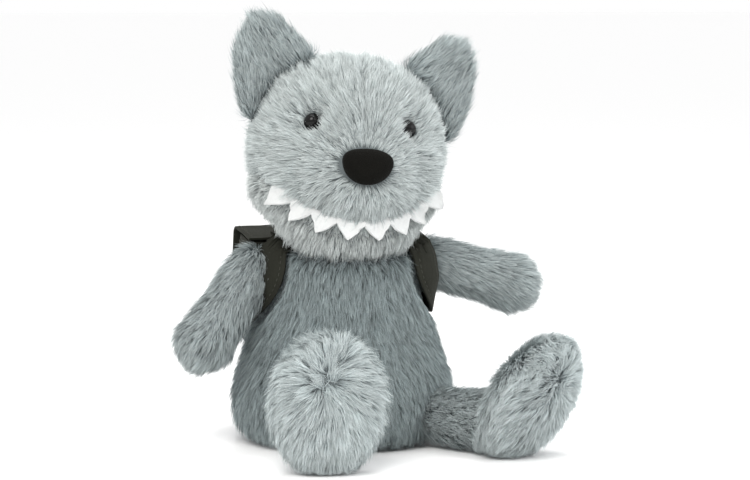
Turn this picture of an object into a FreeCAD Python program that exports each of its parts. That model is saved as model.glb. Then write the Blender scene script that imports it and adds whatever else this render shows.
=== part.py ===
"""Seated plush animal with a rucksack: sewn pile-fabric panels over stuffing, with bead eyes, felt teeth and floppy limbs.

Millimetres, +Z up, front towards -Y, the animal's own left towards +X. The origin is the middle of the flat seat.
Soft skins are drawn at the middle of the pile, so the hair stands a few millimetres proud of them.
"""

import FreeCAD, Part
import Sketcher
import math
import os

V = FreeCAD.Vector
Turn = FreeCAD.Rotation
Place = FreeCAD.Placement
X_AXIS, Y_AXIS, Z_AXIS = V(1, 0, 0), V(0, 1, 0), V(0, 0, 1)

doc = FreeCAD.newDocument("plush_animal")

# ---------------------------------------------------------------- driving dimensions
DIMENSIONS = {
    # skins
    "skin": 2.0,  # fabric backing with its pressed pile
    "ease": 0.4,  # room between a skin and its stuffing
    # torso: radius of the loft at each height
    "torso_low_r": 42.0, "torso_low_z": 0.0,
    "torso_seat_r": 52.0, "torso_seat_z": 6.0,
    "torso_hip_r": 57.5, "torso_hip_z": 18.0,
    "torso_belly_r": 54.0, "torso_belly_z": 42.0,
    "torso_waist_r": 48.0, "torso_waist_z": 62.0,
    "torso_chest_r": 43.5, "torso_chest_z": 84.0,
    "torso_shoulder_r": 40.6, "torso_shoulder_z": 102.0,
    "torso_top_r": 32.5, "torso_top_z": 120.0,
    "seat_seam_z": 8.0,
    "pouch_rx": 38.0, "pouch_ry": 34.0, "pouch_rz": 8.0, "pouch_z": 13.5,
    "tag_wide": 12.0, "tag_out": 16.0, "tag_thick": 0.6, "tag_z": 14.0, "tag_turn": 58.0,
    # head, about its own middle
    "head_y": -6.0, "head_z": 157.0,
    "head_yaw": -8.0, "head_roll": 5.0,
    "skull_rx": 51.0, "skull_ry": 48.0, "skull_rz": 50.0,
    "muzzle_rx": 33.0, "muzzle_ry": 33.0, "muzzle_rz": 25.0, "muzzle_y": -26.0, "muzzle_z": -11.0,
    "cheek_rx": 30.0, "cheek_ry": 32.0, "cheek_rz": 26.0,
    "cheek_x": 20.0, "cheek_y": -8.0, "cheek_z": -16.0,
    "jaw_rx": 38.0, "jaw_ry": 31.0, "jaw_rz": 23.0, "jaw_y": -15.0, "jaw_z": -31.0,
    "nape_r": 58.9, "nape_round": 34.0, "nape_low": 62.0, "nape_long": 50.0,
    "mouth_r": 60.2, "mouth_z": 21.6, "mouth_back_y": 8.0,
    "tooth_count": 8, "tooth_pitch": 12.4, "tooth_drop": 9.5, "tooth_band": 2.5, "tooth_thick": 1.2,
    "tooth_front_y": -10.0,
    "neck_seat_r": 61.5, "neck_plug_r": 26.0, "neck_gap": 0.5, "neck_thick": 1.6,
    "nose_rx": 13.2, "nose_ry": 8.0, "nose_rz": 9.2, "nose_y": -56.6, "nose_z": -5.5,
    "eye_x": 26.5, "eye_y": -37.5, "eye_z": 15.0,
    "eye_r": 4.5, "eye_dome": 3.2, "shank_r": 1.6, "shank_long": 11.0,
    "washer_r": 5.5, "washer_thick": 1.2, "washer_back": 4.0, "fit": 0.05,
    # ears, in the head's frame
    "ear_thick": 9.0, "ear_y": -12.0, "ear_turn": 14.0, "ear_clear": 53.5, "ear_edge": 3.0,
    "ear_left_lean": 5.0, "ear_right_lean": 0.0,
    # limbs: root ball, taper and end
    "root_gap": 3.0, "gusset_gap": 0.5, "gusset_thick": 1.5, "gusset_depth": 0.88, "taper_in": 0.4,
    "arm_x": 49.0, "arm_y": 2.0, "arm_z": 96.0, "arm_root_r": 9.5, "arm_hand_r": 14.0, "arm_long": 50.0,
    "leg_root_r": 11.0, "leg_ankle_r": 14.0, "leg_z": 17.0,
    "ankle_at": 46.0, "foot_at": 61.0, "foot_left_z": 32.0, "foot_right_z": 35.4,
    "foot_rx": 27.0, "foot_ry": 34.3, "foot_rz": 15.5, "sole_depth": 4.0,
    "foot_left_lean": 30.0, "foot_right_lean": 8.0,
    "tail_y": 58.5, "tail_z": 24.0, "tail_root_r": 7.5, "tail_r": 12.5, "tail_half": 31.0, "tail_at": 33.0,
    "tail_drop": 12.0,
    # rucksack, in its own leaning frame
    "pack_y": 54.0, "pack_z": 46.0, "pack_lean": 10.3,
    "pack_width": 80.0, "pack_deep": 27.0, "pack_high": 60.0, "pack_wall": 1.6,
    "pack_corner": 8.0, "pack_bend": 3.0,
    "flap_width": 78.0, "flap_thick": 1.4, "flap_drop": 34.0, "flap_gap": 0.6, "flap_bend": 4.0,
    "patch_width": 22.0, "patch_high": 9.0, "patch_thick": 0.7, "patch_gap": 0.4, "patch_z": 31.0,
    "loop_half": 11.0, "loop_high": 17.0, "loop_wide": 4.5, "loop_thick": 1.2, "loop_y": -1.4,
    # shoulder straps, a slot-shaped band lying on the torso
    "strap_low": 0.6, "strap_thick": 1.6, "strap_left_y": -3.0, "strap_right_y": 5.0, "strap_z": 94.0,
    "strap_inner_r": 13.2, "strap_outer_r": 26.8, "strap_back_y": 50.0, "strap_side_x": 9.0,
}

sheet = doc.addObject("Spreadsheet::Sheet", "Sizes")
for row, (alias, value) in enumerate(DIMENSIONS.items(), start=1):
    sheet.set(f"A{row}", alias)
    sheet.set(f"B{row}", str(value))
    sheet.setAlias(f"B{row}", alias)
doc.recompute()


def size(alias):
    """The sheet's value of a driving dimension."""
    return float(sheet.get(alias))


def bind(thing, **expressions):
    """Ties properties of a document object to cells of the sheet."""
    for prop, expression in expressions.items():
        thing.setExpression(prop, expression)
    return thing


# ---------------------------------------------------------------- small makers
def ellipsoid(name, key, at, grow="0 mm", frame=Place()):
    """An ellipsoid whose half axes are the cells KEY_rx, KEY_ry and KEY_rz plus grow, at a point of a frame."""
    solid = doc.addObject("Part::Ellipsoid", name)
    solid.Angle1, solid.Angle2, solid.Angle3 = -90, 90, 360
    bind(
        solid,
        Radius2=f"Sizes.{key}_rx * 1 mm + {grow}",
        Radius3=f"Sizes.{key}_ry * 1 mm + {grow}",
        Radius1=f"Sizes.{key}_rz * 1 mm + {grow}",
    )
    solid.Placement = frame * Place(at, Turn())
    return solid


def ball(name, radius, at, frame=Place()):
    solid = doc.addObject("Part::Sphere", name)
    bind(solid, Radius=radius)
    solid.Placement = frame * Place(at, Turn())
    return solid


def taper(name, low, high, long, grow, frame):
    """The limb's cone between two balls, a hair thinner than both so that it meets them inside their round."""
    solid = doc.addObject("Part::Cone", name)
    bind(
        solid,
        Radius1=f"(Sizes.{low} - Sizes.taper_in) * 1 mm + {grow}",
        Radius2=f"(Sizes.{high} - Sizes.taper_in) * 1 mm + {grow}",
        Height=f"Sizes.{long} * 1 mm",
    )
    solid.Placement = frame
    return solid


def rod(name, radius, long, frame):
    solid = doc.addObject("Part::Cylinder", name)
    bind(solid, Radius=radius, Height=long)
    solid.Placement = frame
    return solid


def box(name, low, high, frame=Place()):
    """A box between two corners of a frame, used to cut a skin along a seam."""
    solid = doc.addObject("Part::Box", name)
    solid.Length, solid.Width, solid.Height = high[0] - low[0], high[1] - low[1], high[2] - low[2]
    solid.Placement = frame * Place(V(*low), Turn())
    return solid


def fuse(name, *solids):
    joined = doc.addObject("Part::MultiFuse", name)
    joined.Shapes, joined.Refine = list(solids), False
    return joined


def cut(name, base, tool):
    result = doc.addObject("Part::Cut", name)
    result.Base, result.Tool, result.Refine = base, tool, False
    return result


def common(name, one, other):
    result = doc.addObject("Part::Common", name)
    result.Base, result.Tool, result.Refine = one, other, False
    return result


nodes = {}


def part(name, thing):
    """Keeps an object of the document as a sub-part, under the name of its file."""
    thing.Label = name
    nodes[name] = thing
    return thing


def sketch_on(body, role, name):
    plane = next(f for f in body.Origin.OriginFeatures if f.Role == role)
    sketch = body.newObject("Sketcher::SketchObject", name)
    sketch.AttachmentSupport = (plane, [""])
    sketch.MapMode = "FlatFace"
    return sketch


def body_at(name, frame=Place()):
    body = doc.addObject("PartDesign::Body", name)
    body.Placement = frame
    return body


def end_at(sketch, edge, point):
    """Which end of an edge lies at a point: an arc that turns clockwise is kept from its far end."""
    return 1 if sketch.getPoint(edge, 1).distanceToPoint(V(*point, 0)) < 1e-6 else 2


def outline(sketch, points, via=None):
    """A closed outline through points; via holds, by edge number, the point that an arc passes through."""
    via = via or {}
    for i, start in enumerate(points):
        end = points[(i + 1) % len(points)]
        if i in via:
            sketch.addGeometry(Part.Arc(V(*start, 0), V(*via[i], 0), V(*end, 0)), False)
        else:
            sketch.addGeometry(Part.LineSegment(V(*start, 0), V(*end, 0)), False)
    count = len(points)
    for i in range(count):
        after = (i + 1) % count
        one, other = end_at(sketch, i, points[after]), end_at(sketch, after, points[after])
        sketch.addConstraint(Sketcher.Constraint("Coincident", i, one, after, other))


def fix(sketch, edge, end, direction, cell, sign=1):
    """Holds one end of an edge at a sheet cell's distance from the sketch's origin, along X or Y."""
    value = size(cell) if cell in DIMENSIONS else float(doc.getObject("Sizes").get(cell))
    kind = "DistanceX" if direction == "X" else "DistanceY"
    index = sketch.addConstraint(Sketcher.Constraint(kind, -1, 1, edge, end, sign * value))
    sketch.renameConstraint(index, f"{cell}_{direction}_{edge}")
    sketch.setExpression(f"Constraints[{index}]", f"{sign} * Sizes.{cell} * 1 mm")


def pad(body, sketch, long, midplane=False, name="Pad"):
    feature = body.newObject("PartDesign::Pad", name)
    feature.Profile = sketch
    feature.setExpression("Length", long)
    feature.Midplane = midplane
    return feature


# ---------------------------------------------------------------- frames of the moving pieces
head_frame = Place(
    V(0, size("head_y"), size("head_z")),
    Turn(Z_AXIS, size("head_yaw")) * Turn(Y_AXIS, size("head_roll")),
)
LIMB_SIDES = {"left": 1, "right": -1}
# Where each arm points at rest: the left one is held out, the right one hangs.
ARM_AIM = {"left": V(0.96, -0.08, -0.27), "right": V(-0.62, -0.22, -0.76)}
# Hip point and the way each leg points along the floor.
HIP_AT = {"left": V(40.2, -43.2, 0), "right": V(-33.4, -48.5, 0)}
LEG_AIM = {"left": V(0.50, -0.866, 0), "right": V(-0.20, -0.98, 0)}


def aimed(at, aim, up=Z_AXIS):
    """A frame at a point whose own Z runs along aim and whose own Y is as near to up as it can be."""
    z = V(aim).normalize()
    x = up.cross(z).normalize()
    y = z.cross(x)
    matrix = FreeCAD.Matrix(x.x, y.x, z.x, at.x, x.y, y.y, z.y, at.y, x.z, y.z, z.z, at.z, 0, 0, 0, 1)
    return Place(matrix)


arm_frame = {
    side: aimed(V(sign * size("arm_x"), size("arm_y"), size("arm_z")), ARM_AIM[side])
    for side, sign in LIMB_SIDES.items()
}
leg_frame = {
    side: aimed(HIP_AT[side] + V(0, 0, size("leg_z")), LEG_AIM[side]) for side in LIMB_SIDES
}
tail_aim = V(0, math.cos(math.radians(size("tail_drop"))), -math.sin(math.radians(size("tail_drop"))))
tail_frame = aimed(V(0, size("tail_y"), size("tail_z")), tail_aim)
pack_frame = Place(V(0, size("pack_y"), size("pack_z")), Turn(X_AXIS, size("pack_lean")))

# ---------------------------------------------------------------- torso
TORSO_STATIONS = ["low", "seat", "hip", "belly", "waist", "chest", "shoulder", "top"]


def torso_loft(name, grow, lift="0 mm"):
    """The pear shape, with every radius changed by grow and its flat seat raised by lift."""
    rings = []
    for station in TORSO_STATIONS:
        ring = doc.addObject("Part::Circle", f"{name}_{station}")
        ring.Angle1, ring.Angle2 = 0, 360
        bind(ring, Radius=f"Sizes.torso_{station}_r * 1 mm + {grow}")
        rise = f" + {lift}" if station == "low" else ""
        ring.setExpression("Placement.Base.z", f"Sizes.torso_{station}_z * 1 mm{rise}")
        rings.append(ring)
    loft = doc.addObject("Part::Loft", name)
    loft.Sections, loft.Solid, loft.Ruled, loft.Closed = rings, True, False, False
    return loft


def recesses(name, grow):
    """What is taken out of the torso: the head's seat and a dish round each limb's root, all grown alike."""
    tools = [ball(f"{name}_head", f"Sizes.neck_seat_r * 1 mm + {grow}", head_frame.Base)]
    for side in LIMB_SIDES:
        tools.append(
            ball(f"{name}_arm_{side}", f"(Sizes.arm_root_r + Sizes.root_gap) * 1 mm + {grow}",
                 arm_frame[side].Base)
        )
        tools.append(
            ball(f"{name}_leg_{side}", f"(Sizes.leg_root_r + Sizes.root_gap) * 1 mm + {grow}",
                 leg_frame[side].Base)
        )
    tools.append(
        ball(f"{name}_tail", f"(Sizes.tail_root_r + Sizes.root_gap) * 1 mm + {grow}", tail_frame.Base)
    )
    return fuse(name, *tools)


def torso():
    outer = cut("torso_outer", torso_loft("torso_form", "0 mm"), recesses("torso_recess", "0 mm"))
    inner = cut(
        "torso_inner",
        torso_loft("torso_lining", "-Sizes.skin * 1 mm", "Sizes.skin * 1 mm"),
        recesses("lining_recess", "Sizes.skin * 1 mm"),
    )
    shell = cut("torso_shell", outer, inner)
    seam, wide, top = size("seat_seam_z"), 90, 140
    part("seat_panel", common("seat", shell, box("below_seam", (-wide, -wide, -1), (wide, wide, seam))))
    part(
        "torso_front_panel",
        common("torso_front", shell, box("before_seam", (-wide, -wide, seam), (wide, 0, top))),
    )
    part(
        "torso_back_panel",
        common("torso_back", shell, box("behind_seam", (-wide, 0, seam), (wide, wide, top))),
    )
    core = cut(
        "torso_core",
        torso_loft("core_form", "-(Sizes.skin + Sizes.ease) * 1 mm", "(Sizes.skin + Sizes.ease) * 1 mm"),
        recesses("core_recess", "(Sizes.skin + Sizes.ease) * 1 mm"),
    )
    pouch_at = V(0, 0, size("pouch_z"))
    nest = ellipsoid("pouch_nest", "pouch", pouch_at, "Sizes.ease * 1 mm")
    part("torso_stuffing", cut("torso_fill", core, nest))
    part("pellet_pouch", ellipsoid("pouch", "pouch", pouch_at))


# ---------------------------------------------------------------- head
def head_form(name, grow):
    """Skull, muzzle, cheeks, jaw and the ball-ended nape as one form, with every half axis changed by grow."""
    cheeks = [
        ellipsoid(f"{name}_cheek_{side}", "cheek",
                  V(sign * size("cheek_x"), size("cheek_y"), size("cheek_z")), grow, head_frame)
        for side, sign in LIMB_SIDES.items()
    ]
    throat = Place(head_frame.Base - V(0, 0, size("nape_low")), Turn())
    nape = common(
        f"{name}_nape",
        ball(f"{name}_nape_ball", f"Sizes.nape_r * 1 mm + {grow}", head_frame.Base),
        rod(f"{name}_nape_rod", f"Sizes.nape_round * 1 mm + {grow}", "Sizes.nape_long * 1 mm", throat),
    )
    return fuse(
        name,
        nape,
        ellipsoid(f"{name}_skull", "skull", V(), grow, head_frame),
        ellipsoid(f"{name}_muzzle", "muzzle", V(0, size("muzzle_y"), size("muzzle_z")), grow, head_frame),
        ellipsoid(f"{name}_jaw", "jaw", V(0, size("jaw_y"), size("jaw_z")), grow, head_frame),
        *cheeks,
    )


def eye_frame(sign):
    """A frame on the face at one eye, its Z straight out of the skull."""
    x, y, z = sign * size("eye_x"), size("eye_y"), size("eye_z")
    out = V(x / size("skull_rx") ** 2, y / size("skull_ry") ** 2, z / size("skull_rz") ** 2)
    return head_frame * aimed(V(x, y, z), out)


def eye(side, sign):
    """A domed bead on a shank, and the washer that locks it behind the skin."""
    frame = eye_frame(sign)
    body = body_at(f"eye_body_{side}", frame)
    sketch = sketch_on(body, "XZ_Plane", f"eye_profile_{side}")
    r, dome, shank, long = size("eye_r"), size("eye_dome"), size("shank_r"), size("shank_long")
    round_r = (r * r + dome * dome) / (2 * dome)
    half = math.atan2(r, round_r - dome) / 2
    outline(
        sketch,
        [(0, dome), (0, -long), (shank, -long), (shank, 0), (r, 0)],
        {4: (round_r * math.sin(half), dome - round_r + round_r * math.cos(half))},
    )
    fix(sketch, 0, 1, "Y", "eye_dome")
    fix(sketch, 1, 1, "Y", "shank_long", -1)
    fix(sketch, 2, 1, "X", "shank_r")
    fix(sketch, 4, 1, "X", "eye_r")
    turned = body.newObject("PartDesign::Revolution", f"eye_turned_{side}")
    turned.Profile = sketch
    turned.ReferenceAxis = (sketch, ["V_Axis"])
    turned.Angle = 360
    part(f"eye_{side}", body)
    back = frame * Place(V(0, 0, -size("washer_back") - size("washer_thick")), Turn())
    disc = rod(f"washer_disc_{side}", "Sizes.washer_r * 1 mm", "Sizes.washer_thick * 1 mm", back)
    hole = rod(f"washer_hole_{side}", "(Sizes.shank_r + Sizes.fit) * 1 mm", "Sizes.washer_thick * 1 mm", back)
    part(f"eye_washer_{side}", cut(f"washer_{side}", disc, hole))


def eye_pockets(name, radius, deep, out="0 mm"):
    """Straight pockets behind both eyes, from out in front of the face to deep behind it."""
    pockets = []
    for side, sign in LIMB_SIDES.items():
        frame = eye_frame(sign) * Place(V(0, 0, -deep), Turn())
        pockets.append(rod(f"{name}_{side}", radius, f"{deep} mm + {out}", frame))
    return fuse(name, *pockets)


def teeth(outer):
    """A zig-zag of felt that follows the mouth seam on the outside of the face."""
    count, pitch = int(size("tooth_count")), size("tooth_pitch")
    radius, mid = size("mouth_r"), size("mouth_z")
    span = count * pitch / radius / 2  # half the mouth's angle, measured about its own middle
    low = radius + size("tooth_drop")
    high = radius - size("tooth_band")

    def on_arc(r, angle):
        return V(r * math.sin(angle), size("tooth_front_y"), mid - r * math.cos(angle))

    step = 2 * span / count
    edge = []
    for i in range(count):
        start = -span + i * step
        edge += [on_arc(radius + 1.0, start), on_arc(low, start + step / 2)]
    edge.append(on_arc(radius + 1.0, span))
    back = [on_arc(high, span - i * step / 2) for i in range(2 * count + 1)]
    wire = Part.makePolygon(edge + back + [edge[0]])
    prism = Part.Face(wire).extrude(V(0, -80, 0))
    prism.Placement = head_frame
    zigzag = doc.addObject("Part::Feature", "teeth_prism")
    zigzag.Shape = prism
    layer = cut("teeth_layer", head_form("teeth_form", "Sizes.tooth_thick * 1 mm"), outer)
    part("teeth_strip", common("teeth", layer, zigzag))


def neck():
    """A lens of stuffed fabric between the torso's seat and the head, on which the head turns and nods."""
    at = head_frame.Base
    low = ball("neck_under", "(Sizes.neck_seat_r - Sizes.neck_gap) * 1 mm", at)
    high = ball("neck_over", "(Sizes.neck_seat_r - Sizes.neck_gap - Sizes.neck_thick) * 1 mm", at)
    drop = size("neck_seat_r")
    well = rod("neck_round", "Sizes.neck_plug_r * 1 mm", f"{drop} mm", Place(at - V(0, 0, drop), Turn()))
    part("neck_plug", common("neck", cut("neck_lens", low, high), well))


def head():
    outer = head_form("head_form", "0 mm")
    shell = cut("head_shell", outer, head_form("head_lining", "-Sizes.skin * 1 mm"))
    shell = cut("head_pierced", shell, eye_pockets("shank_holes", "(Sizes.shank_r + Sizes.fit) * 1 mm", 9, "9 mm"))
    shell = cut("head_dished", shell, eye_pockets("eye_seats", "(Sizes.eye_r + Sizes.fit) * 1 mm", 0, "9 mm"))
    far = 90
    below = box("mouth_block", (-far, -far, -far), (far, size("mouth_back_y"), 0), head_frame)
    bow = rod(
        "mouth_bow", "Sizes.mouth_r * 1 mm", f"{2 * far} mm",
        head_frame * Place(V(0, far, size("mouth_z")), Turn(X_AXIS, 90)),
    )
    under = cut("under_mouth", below, bow)
    part("chin_panel", common("chin", shell, under))
    upper = cut("head_upper", shell, under)
    for side, sign in LIMB_SIDES.items():
        low = (0, -far, -far) if sign > 0 else (-far, -far, -far)
        high = (far, far, far) if sign > 0 else (0, far, far)
        half = box(f"head_half_{side}", low, high, head_frame)
        part(f"head_panel_{side}", common(f"head_side_{side}", upper, half))
        eye(side, sign)
    core = head_form("head_core", "-(Sizes.skin + Sizes.ease) * 1 mm")
    room = eye_pockets("washer_room", "(Sizes.washer_r + Sizes.ease) * 1 mm", 13, "0 mm")
    part("head_stuffing", cut("head_fill", core, room))
    teeth(outer)
    nose_form = ellipsoid("nose_form", "nose", V(0, size("nose_y"), size("nose_z")), "0 mm", head_frame)
    part("nose_patch", cut("nose", nose_form, outer))


def ear(side, sign):
    """A flat stuffed ear: a front and a back panel, cut away where the skull passes."""
    lean = Turn(Y_AXIS, sign * size(f"ear_{side}_lean"))
    frame = head_frame * Place(V(0, size("ear_y"), 0), Turn(Z_AXIS, sign * size("ear_turn")) * lean)
    body = body_at(f"ear_body_{side}", frame)
    sketch = sketch_on(body, "XZ_Plane", f"ear_outline_{side}")
    points = [(52, 8), (63, 54), (56, 66), (46, 67), (22, 48)]
    curved = {0: (61.5, 30)}
    outline(
        sketch,
        [(sign * x, z) for x, z in points],
        {edge: (sign * x, z) for edge, (x, z) in curved.items()},
    )
    pad(body, sketch, "Sizes.ear_thick * 1 mm", True, f"ear_pad_{side}")
    doc.recompute()
    base = body.Tip
    edges = []
    for i, e in enumerate(base.Shape.Edges, start=1):
        flat = e.BoundBox.YLength < 0.01
        if flat and e.BoundBox.ZMax > 50:
            edges.append(f"Edge{i}")
    rim = body.newObject("PartDesign::Fillet", f"ear_rim_{side}")
    rim.Base = (base, edges)
    rim.setExpression("Radius", "Sizes.ear_edge * 1 mm")
    doc.recompute()
    skull = ball(f"ear_clear_{side}", "Sizes.ear_clear * 1 mm", V(), head_frame)
    whole = cut(f"ear_whole_{side}", body, skull)
    far = 90
    part(f"ear_front_{side}", common(f"ear_fore_{side}", whole, box(f"ear_fore_box_{side}", (-far, -20, 0), (far, 0, far), frame)))
    part(f"ear_back_{side}", common(f"ear_aft_{side}", whole, box(f"ear_aft_box_{side}", (-far, 0, 0), (far, 20, far), frame)))


# ---------------------------------------------------------------- limbs
def gusset(name, root, frame, inward):
    """The gathered root of a limb: a dished cap round its ball, in the recess of the torso."""
    gap, thick = "Sizes.gusset_gap", "Sizes.gusset_thick"
    outer = ball(f"{name}_outer", f"(Sizes.{root} + {gap} + {thick}) * 1 mm", frame.Base)
    inner = ball(f"{name}_inner", f"(Sizes.{root} + {gap}) * 1 mm", frame.Base)
    cap = cut(f"{name}_cap", outer, inner)
    reach = 20
    way = aimed(frame.Base, inward)
    keep = box(f"{name}_keep", (-reach, -reach, size(root) * size("gusset_depth")), (reach, reach, reach), way)
    part(name, common(f"{name}_dish", cap, keep))


def arm_form(name, grow, frame):
    return fuse(
        name,
        ball(f"{name}_root", f"Sizes.arm_root_r * 1 mm + {grow}", V(), frame),
        taper(f"{name}_taper", "arm_root_r", "arm_hand_r", "arm_long", grow, frame),
        ball(f"{name}_hand", f"Sizes.arm_hand_r * 1 mm + {grow}", V(0, 0, size("arm_long")), frame),
    )


def arm(side, sign):
    frame = arm_frame[side]
    shell = cut(
        f"arm_shell_{side}",
        arm_form(f"arm_form_{side}", "0 mm", frame),
        arm_form(f"arm_lining_{side}", "-Sizes.skin * 1 mm", frame),
    )
    far = 90
    upper = box(f"arm_upper_{side}", (-far, 0, -far), (far, far, far), frame)
    lower = box(f"arm_lower_{side}", (-far, -far, -far), (far, 0, far), frame)
    part(f"arm_{side}_upper_panel", common(f"arm_top_{side}", shell, upper))
    part(f"arm_{side}_lower_panel", common(f"arm_under_{side}", shell, lower))
    part(f"arm_{side}_stuffing", arm_form(f"arm_core_{side}", "-(Sizes.skin + Sizes.ease) * 1 mm", frame))
    gusset(f"arm_{side}_gusset", "arm_root_r", frame, V(-sign, 0, 0))


def foot_place(side):
    """A foot's own frame: X across, Y along the leg and Z up to the toes, leaning out."""
    frame = leg_frame[side]
    up = frame.Rotation.multVec(Y_AXIS)
    out = frame.Rotation.multVec(Z_AXIS)
    at = frame.Base + out * size("foot_at") + up * (size(f"foot_{side}_z") - size("leg_z"))
    upright = Turn(frame.Rotation.multVec(X_AXIS), out, up, "ZYX")
    return Place(at, upright * Turn(X_AXIS, -size(f"foot_{side}_lean")))


def leg_form(name, grow, side):
    frame = leg_frame[side]
    flat = foot_place(side) * Place(V(), Turn(X_AXIS, -90))  # the foot's form has its poles front and back
    return fuse(
        name,
        ball(f"{name}_root", f"Sizes.leg_root_r * 1 mm + {grow}", V(), frame),
        taper(f"{name}_taper", "leg_root_r", "leg_ankle_r", "ankle_at", grow, frame),
        ball(f"{name}_ankle", f"Sizes.leg_ankle_r * 1 mm + {grow}", V(0, 0, size("ankle_at")), frame),
        ellipsoid(f"{name}_foot", "foot", V(), grow, flat),
    )


def leg(side, sign):
    frame = leg_frame[side]
    shell = cut(
        f"leg_shell_{side}",
        leg_form(f"leg_form_{side}", "0 mm", side),
        leg_form(f"leg_lining_{side}", "-Sizes.skin * 1 mm", side),
    )
    far = 90
    near = box(f"sole_side_{side}", (-far, size("sole_depth"), -far), (far, far, far), foot_place(side))
    behind = box(f"sleeve_side_{side}", (-far, -far, -far), (far, size("sole_depth"), far), foot_place(side))
    part(f"leg_{side}_sole", common(f"sole_{side}", shell, near))
    part(f"leg_{side}_sleeve", common(f"sleeve_{side}", shell, behind))
    part(f"leg_{side}_stuffing", leg_form(f"leg_core_{side}", "-(Sizes.skin + Sizes.ease) * 1 mm", side))
    inward = -frame.Rotation.multVec(Z_AXIS)
    gusset(f"leg_{side}_gusset", "leg_root_r", frame, inward)


def tail_form(name, grow):
    brush = doc.addObject("Part::Ellipsoid", f"{name}_brush")
    brush.Angle1, brush.Angle2, brush.Angle3 = -90, 90, 360
    bind(
        brush,
        Radius1=f"Sizes.tail_half * 1 mm + {grow}",
        Radius2=f"Sizes.tail_r * 1 mm + {grow}",
        Radius3=f"Sizes.tail_r * 1 mm + {grow}",
    )
    brush.Placement = tail_frame * Place(V(0, 0, size("tail_at")), Turn())
    stem = taper(f"{name}_stem", "tail_root_r", "tail_r", "tail_at", grow, tail_frame)
    return fuse(name, ball(f"{name}_root", f"Sizes.tail_root_r * 1 mm + {grow}", V(), tail_frame), stem, brush)


def tail():
    shell = cut("tail_shell", tail_form("tail_form", "0 mm"), tail_form("tail_lining", "-Sizes.skin * 1 mm"))
    far = 90
    part("tail_left_panel", common("tail_l", shell, box("tail_l_box", (0, -far, -far), (far, 2 * far, far))))
    part("tail_right_panel", common("tail_r", shell, box("tail_r_box", (-far, -far, -far), (0, 2 * far, far))))
    part("tail_stuffing", tail_form("tail_core", "-(Sizes.skin + Sizes.ease) * 1 mm"))
    gusset("tail_gusset", "tail_root_r", tail_frame, V(0, -1, 0))


# ---------------------------------------------------------------- rucksack
def pack_bag():
    """An open-topped bag: a padded block, rounded, then hollowed from the top."""
    body = body_at("pack_body", pack_frame)
    sketch = sketch_on(body, "XY_Plane", "pack_plan")
    half, deep, corner = size("pack_width") / 2, size("pack_deep"), size("pack_corner")
    turn = corner * (1 - math.sqrt(0.5))
    points = [(-half, 0), (half, 0), (half, deep - corner), (half - corner, deep),
              (corner - half, deep), (-half, deep - corner)]
    via = {2: (half - turn, deep - turn), 4: (turn - half, deep - turn)}
    outline(sketch, points, via)
    pad(body, sketch, "Sizes.pack_high * 1 mm", False, "pack_pad")
    doc.recompute()
    base = body.Tip
    soft = body.newObject("PartDesign::Fillet", "pack_soft_base")
    soft.Base = (base, [
        f"Edge{i}" for i, e in enumerate(base.Shape.Edges, start=1)
        if abs(e.BoundBox.ZMax) < 0.01 and e.BoundBox.YMax > 1
    ])
    soft.setExpression("Radius", "Sizes.pack_bend * 1 mm")
    doc.recompute()
    hollow = body.newObject("PartDesign::Thickness", "pack_hollow")
    top = [
        f"Face{i}" for i, f in enumerate(soft.Shape.Faces, start=1)
        if abs(f.BoundBox.ZMin - size("pack_high")) < 0.01
    ]
    hollow.Base = (soft, top)
    hollow.setExpression("Value", "Sizes.pack_wall * 1 mm")
    hollow.Reversed = True
    hollow.Mode = 0
    hollow.Join = 0
    doc.recompute()
    part("pack_bag", body)


def pack_flap():
    """The lid: from the top of the back panel over the bag and part of the way down its front."""
    body = body_at("flap_body", pack_frame)
    sketch = sketch_on(body, "YZ_Plane", "flap_profile")
    thick, bend, gap = size("flap_thick"), size("flap_bend"), size("flap_gap")
    under = size("pack_high") + gap
    inside = size("pack_deep") + size("patch_thick") * 2 + size("patch_gap")
    foot = under - size("flap_drop")
    inner, outer = bend - thick, bend
    slant = 1 - math.sqrt(0.5)
    points = [
        (0, under), (inside - inner, under), (inside, under - inner), (inside, foot),
        (inside + thick, foot), (inside + thick, under + thick - outer),
        (inside + thick - outer, under + thick), (0, under + thick),
    ]
    via = {
        1: (inside - inner * slant, under - inner * slant),
        5: (inside + thick - outer * slant, under + thick - outer * slant),
    }
    outline(sketch, points, via)
    pad(body, sketch, "Sizes.flap_width * 1 mm", True, "flap_pad")
    part("pack_flap", body)


def patch(name, y):
    """One half of the hook-and-loop closing, a plate standing off the bag's front."""
    frame = pack_frame * Place(V(0, y, 0), Turn())
    plate = doc.addObject("Part::Box", f"{name}_plate")
    bind(plate, Length="Sizes.patch_width * 1 mm", Width="Sizes.patch_thick * 1 mm",
         Height="Sizes.patch_high * 1 mm")
    plate.Placement = frame * Place(V(-size("patch_width") / 2, 0, size("patch_z")), Turn())
    part(name, plate)


def haul_loop():
    """A loop of webbing that stands at the top of the bag's back panel."""
    frame = pack_frame * Place(V(0, size("loop_y"), size("pack_high")), Turn())
    body = body_at("loop_body", frame)
    sketch = sketch_on(body, "XZ_Plane", "loop_profile")
    half, high, wide = size("loop_half"), size("loop_high"), size("loop_wide")
    inner, rise = half - wide, high - half
    outline(
        sketch,
        [(-half, 0), (-inner, 0), (-inner, rise), (inner, rise), (inner, 0), (half, 0), (half, rise), (-half, rise)],
        {2: (0, rise + inner), 6: (0, high)},
    )
    pad(body, sketch, "Sizes.loop_thick * 1 mm", True, "loop_pad")
    part("haul_loop", body)


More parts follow.
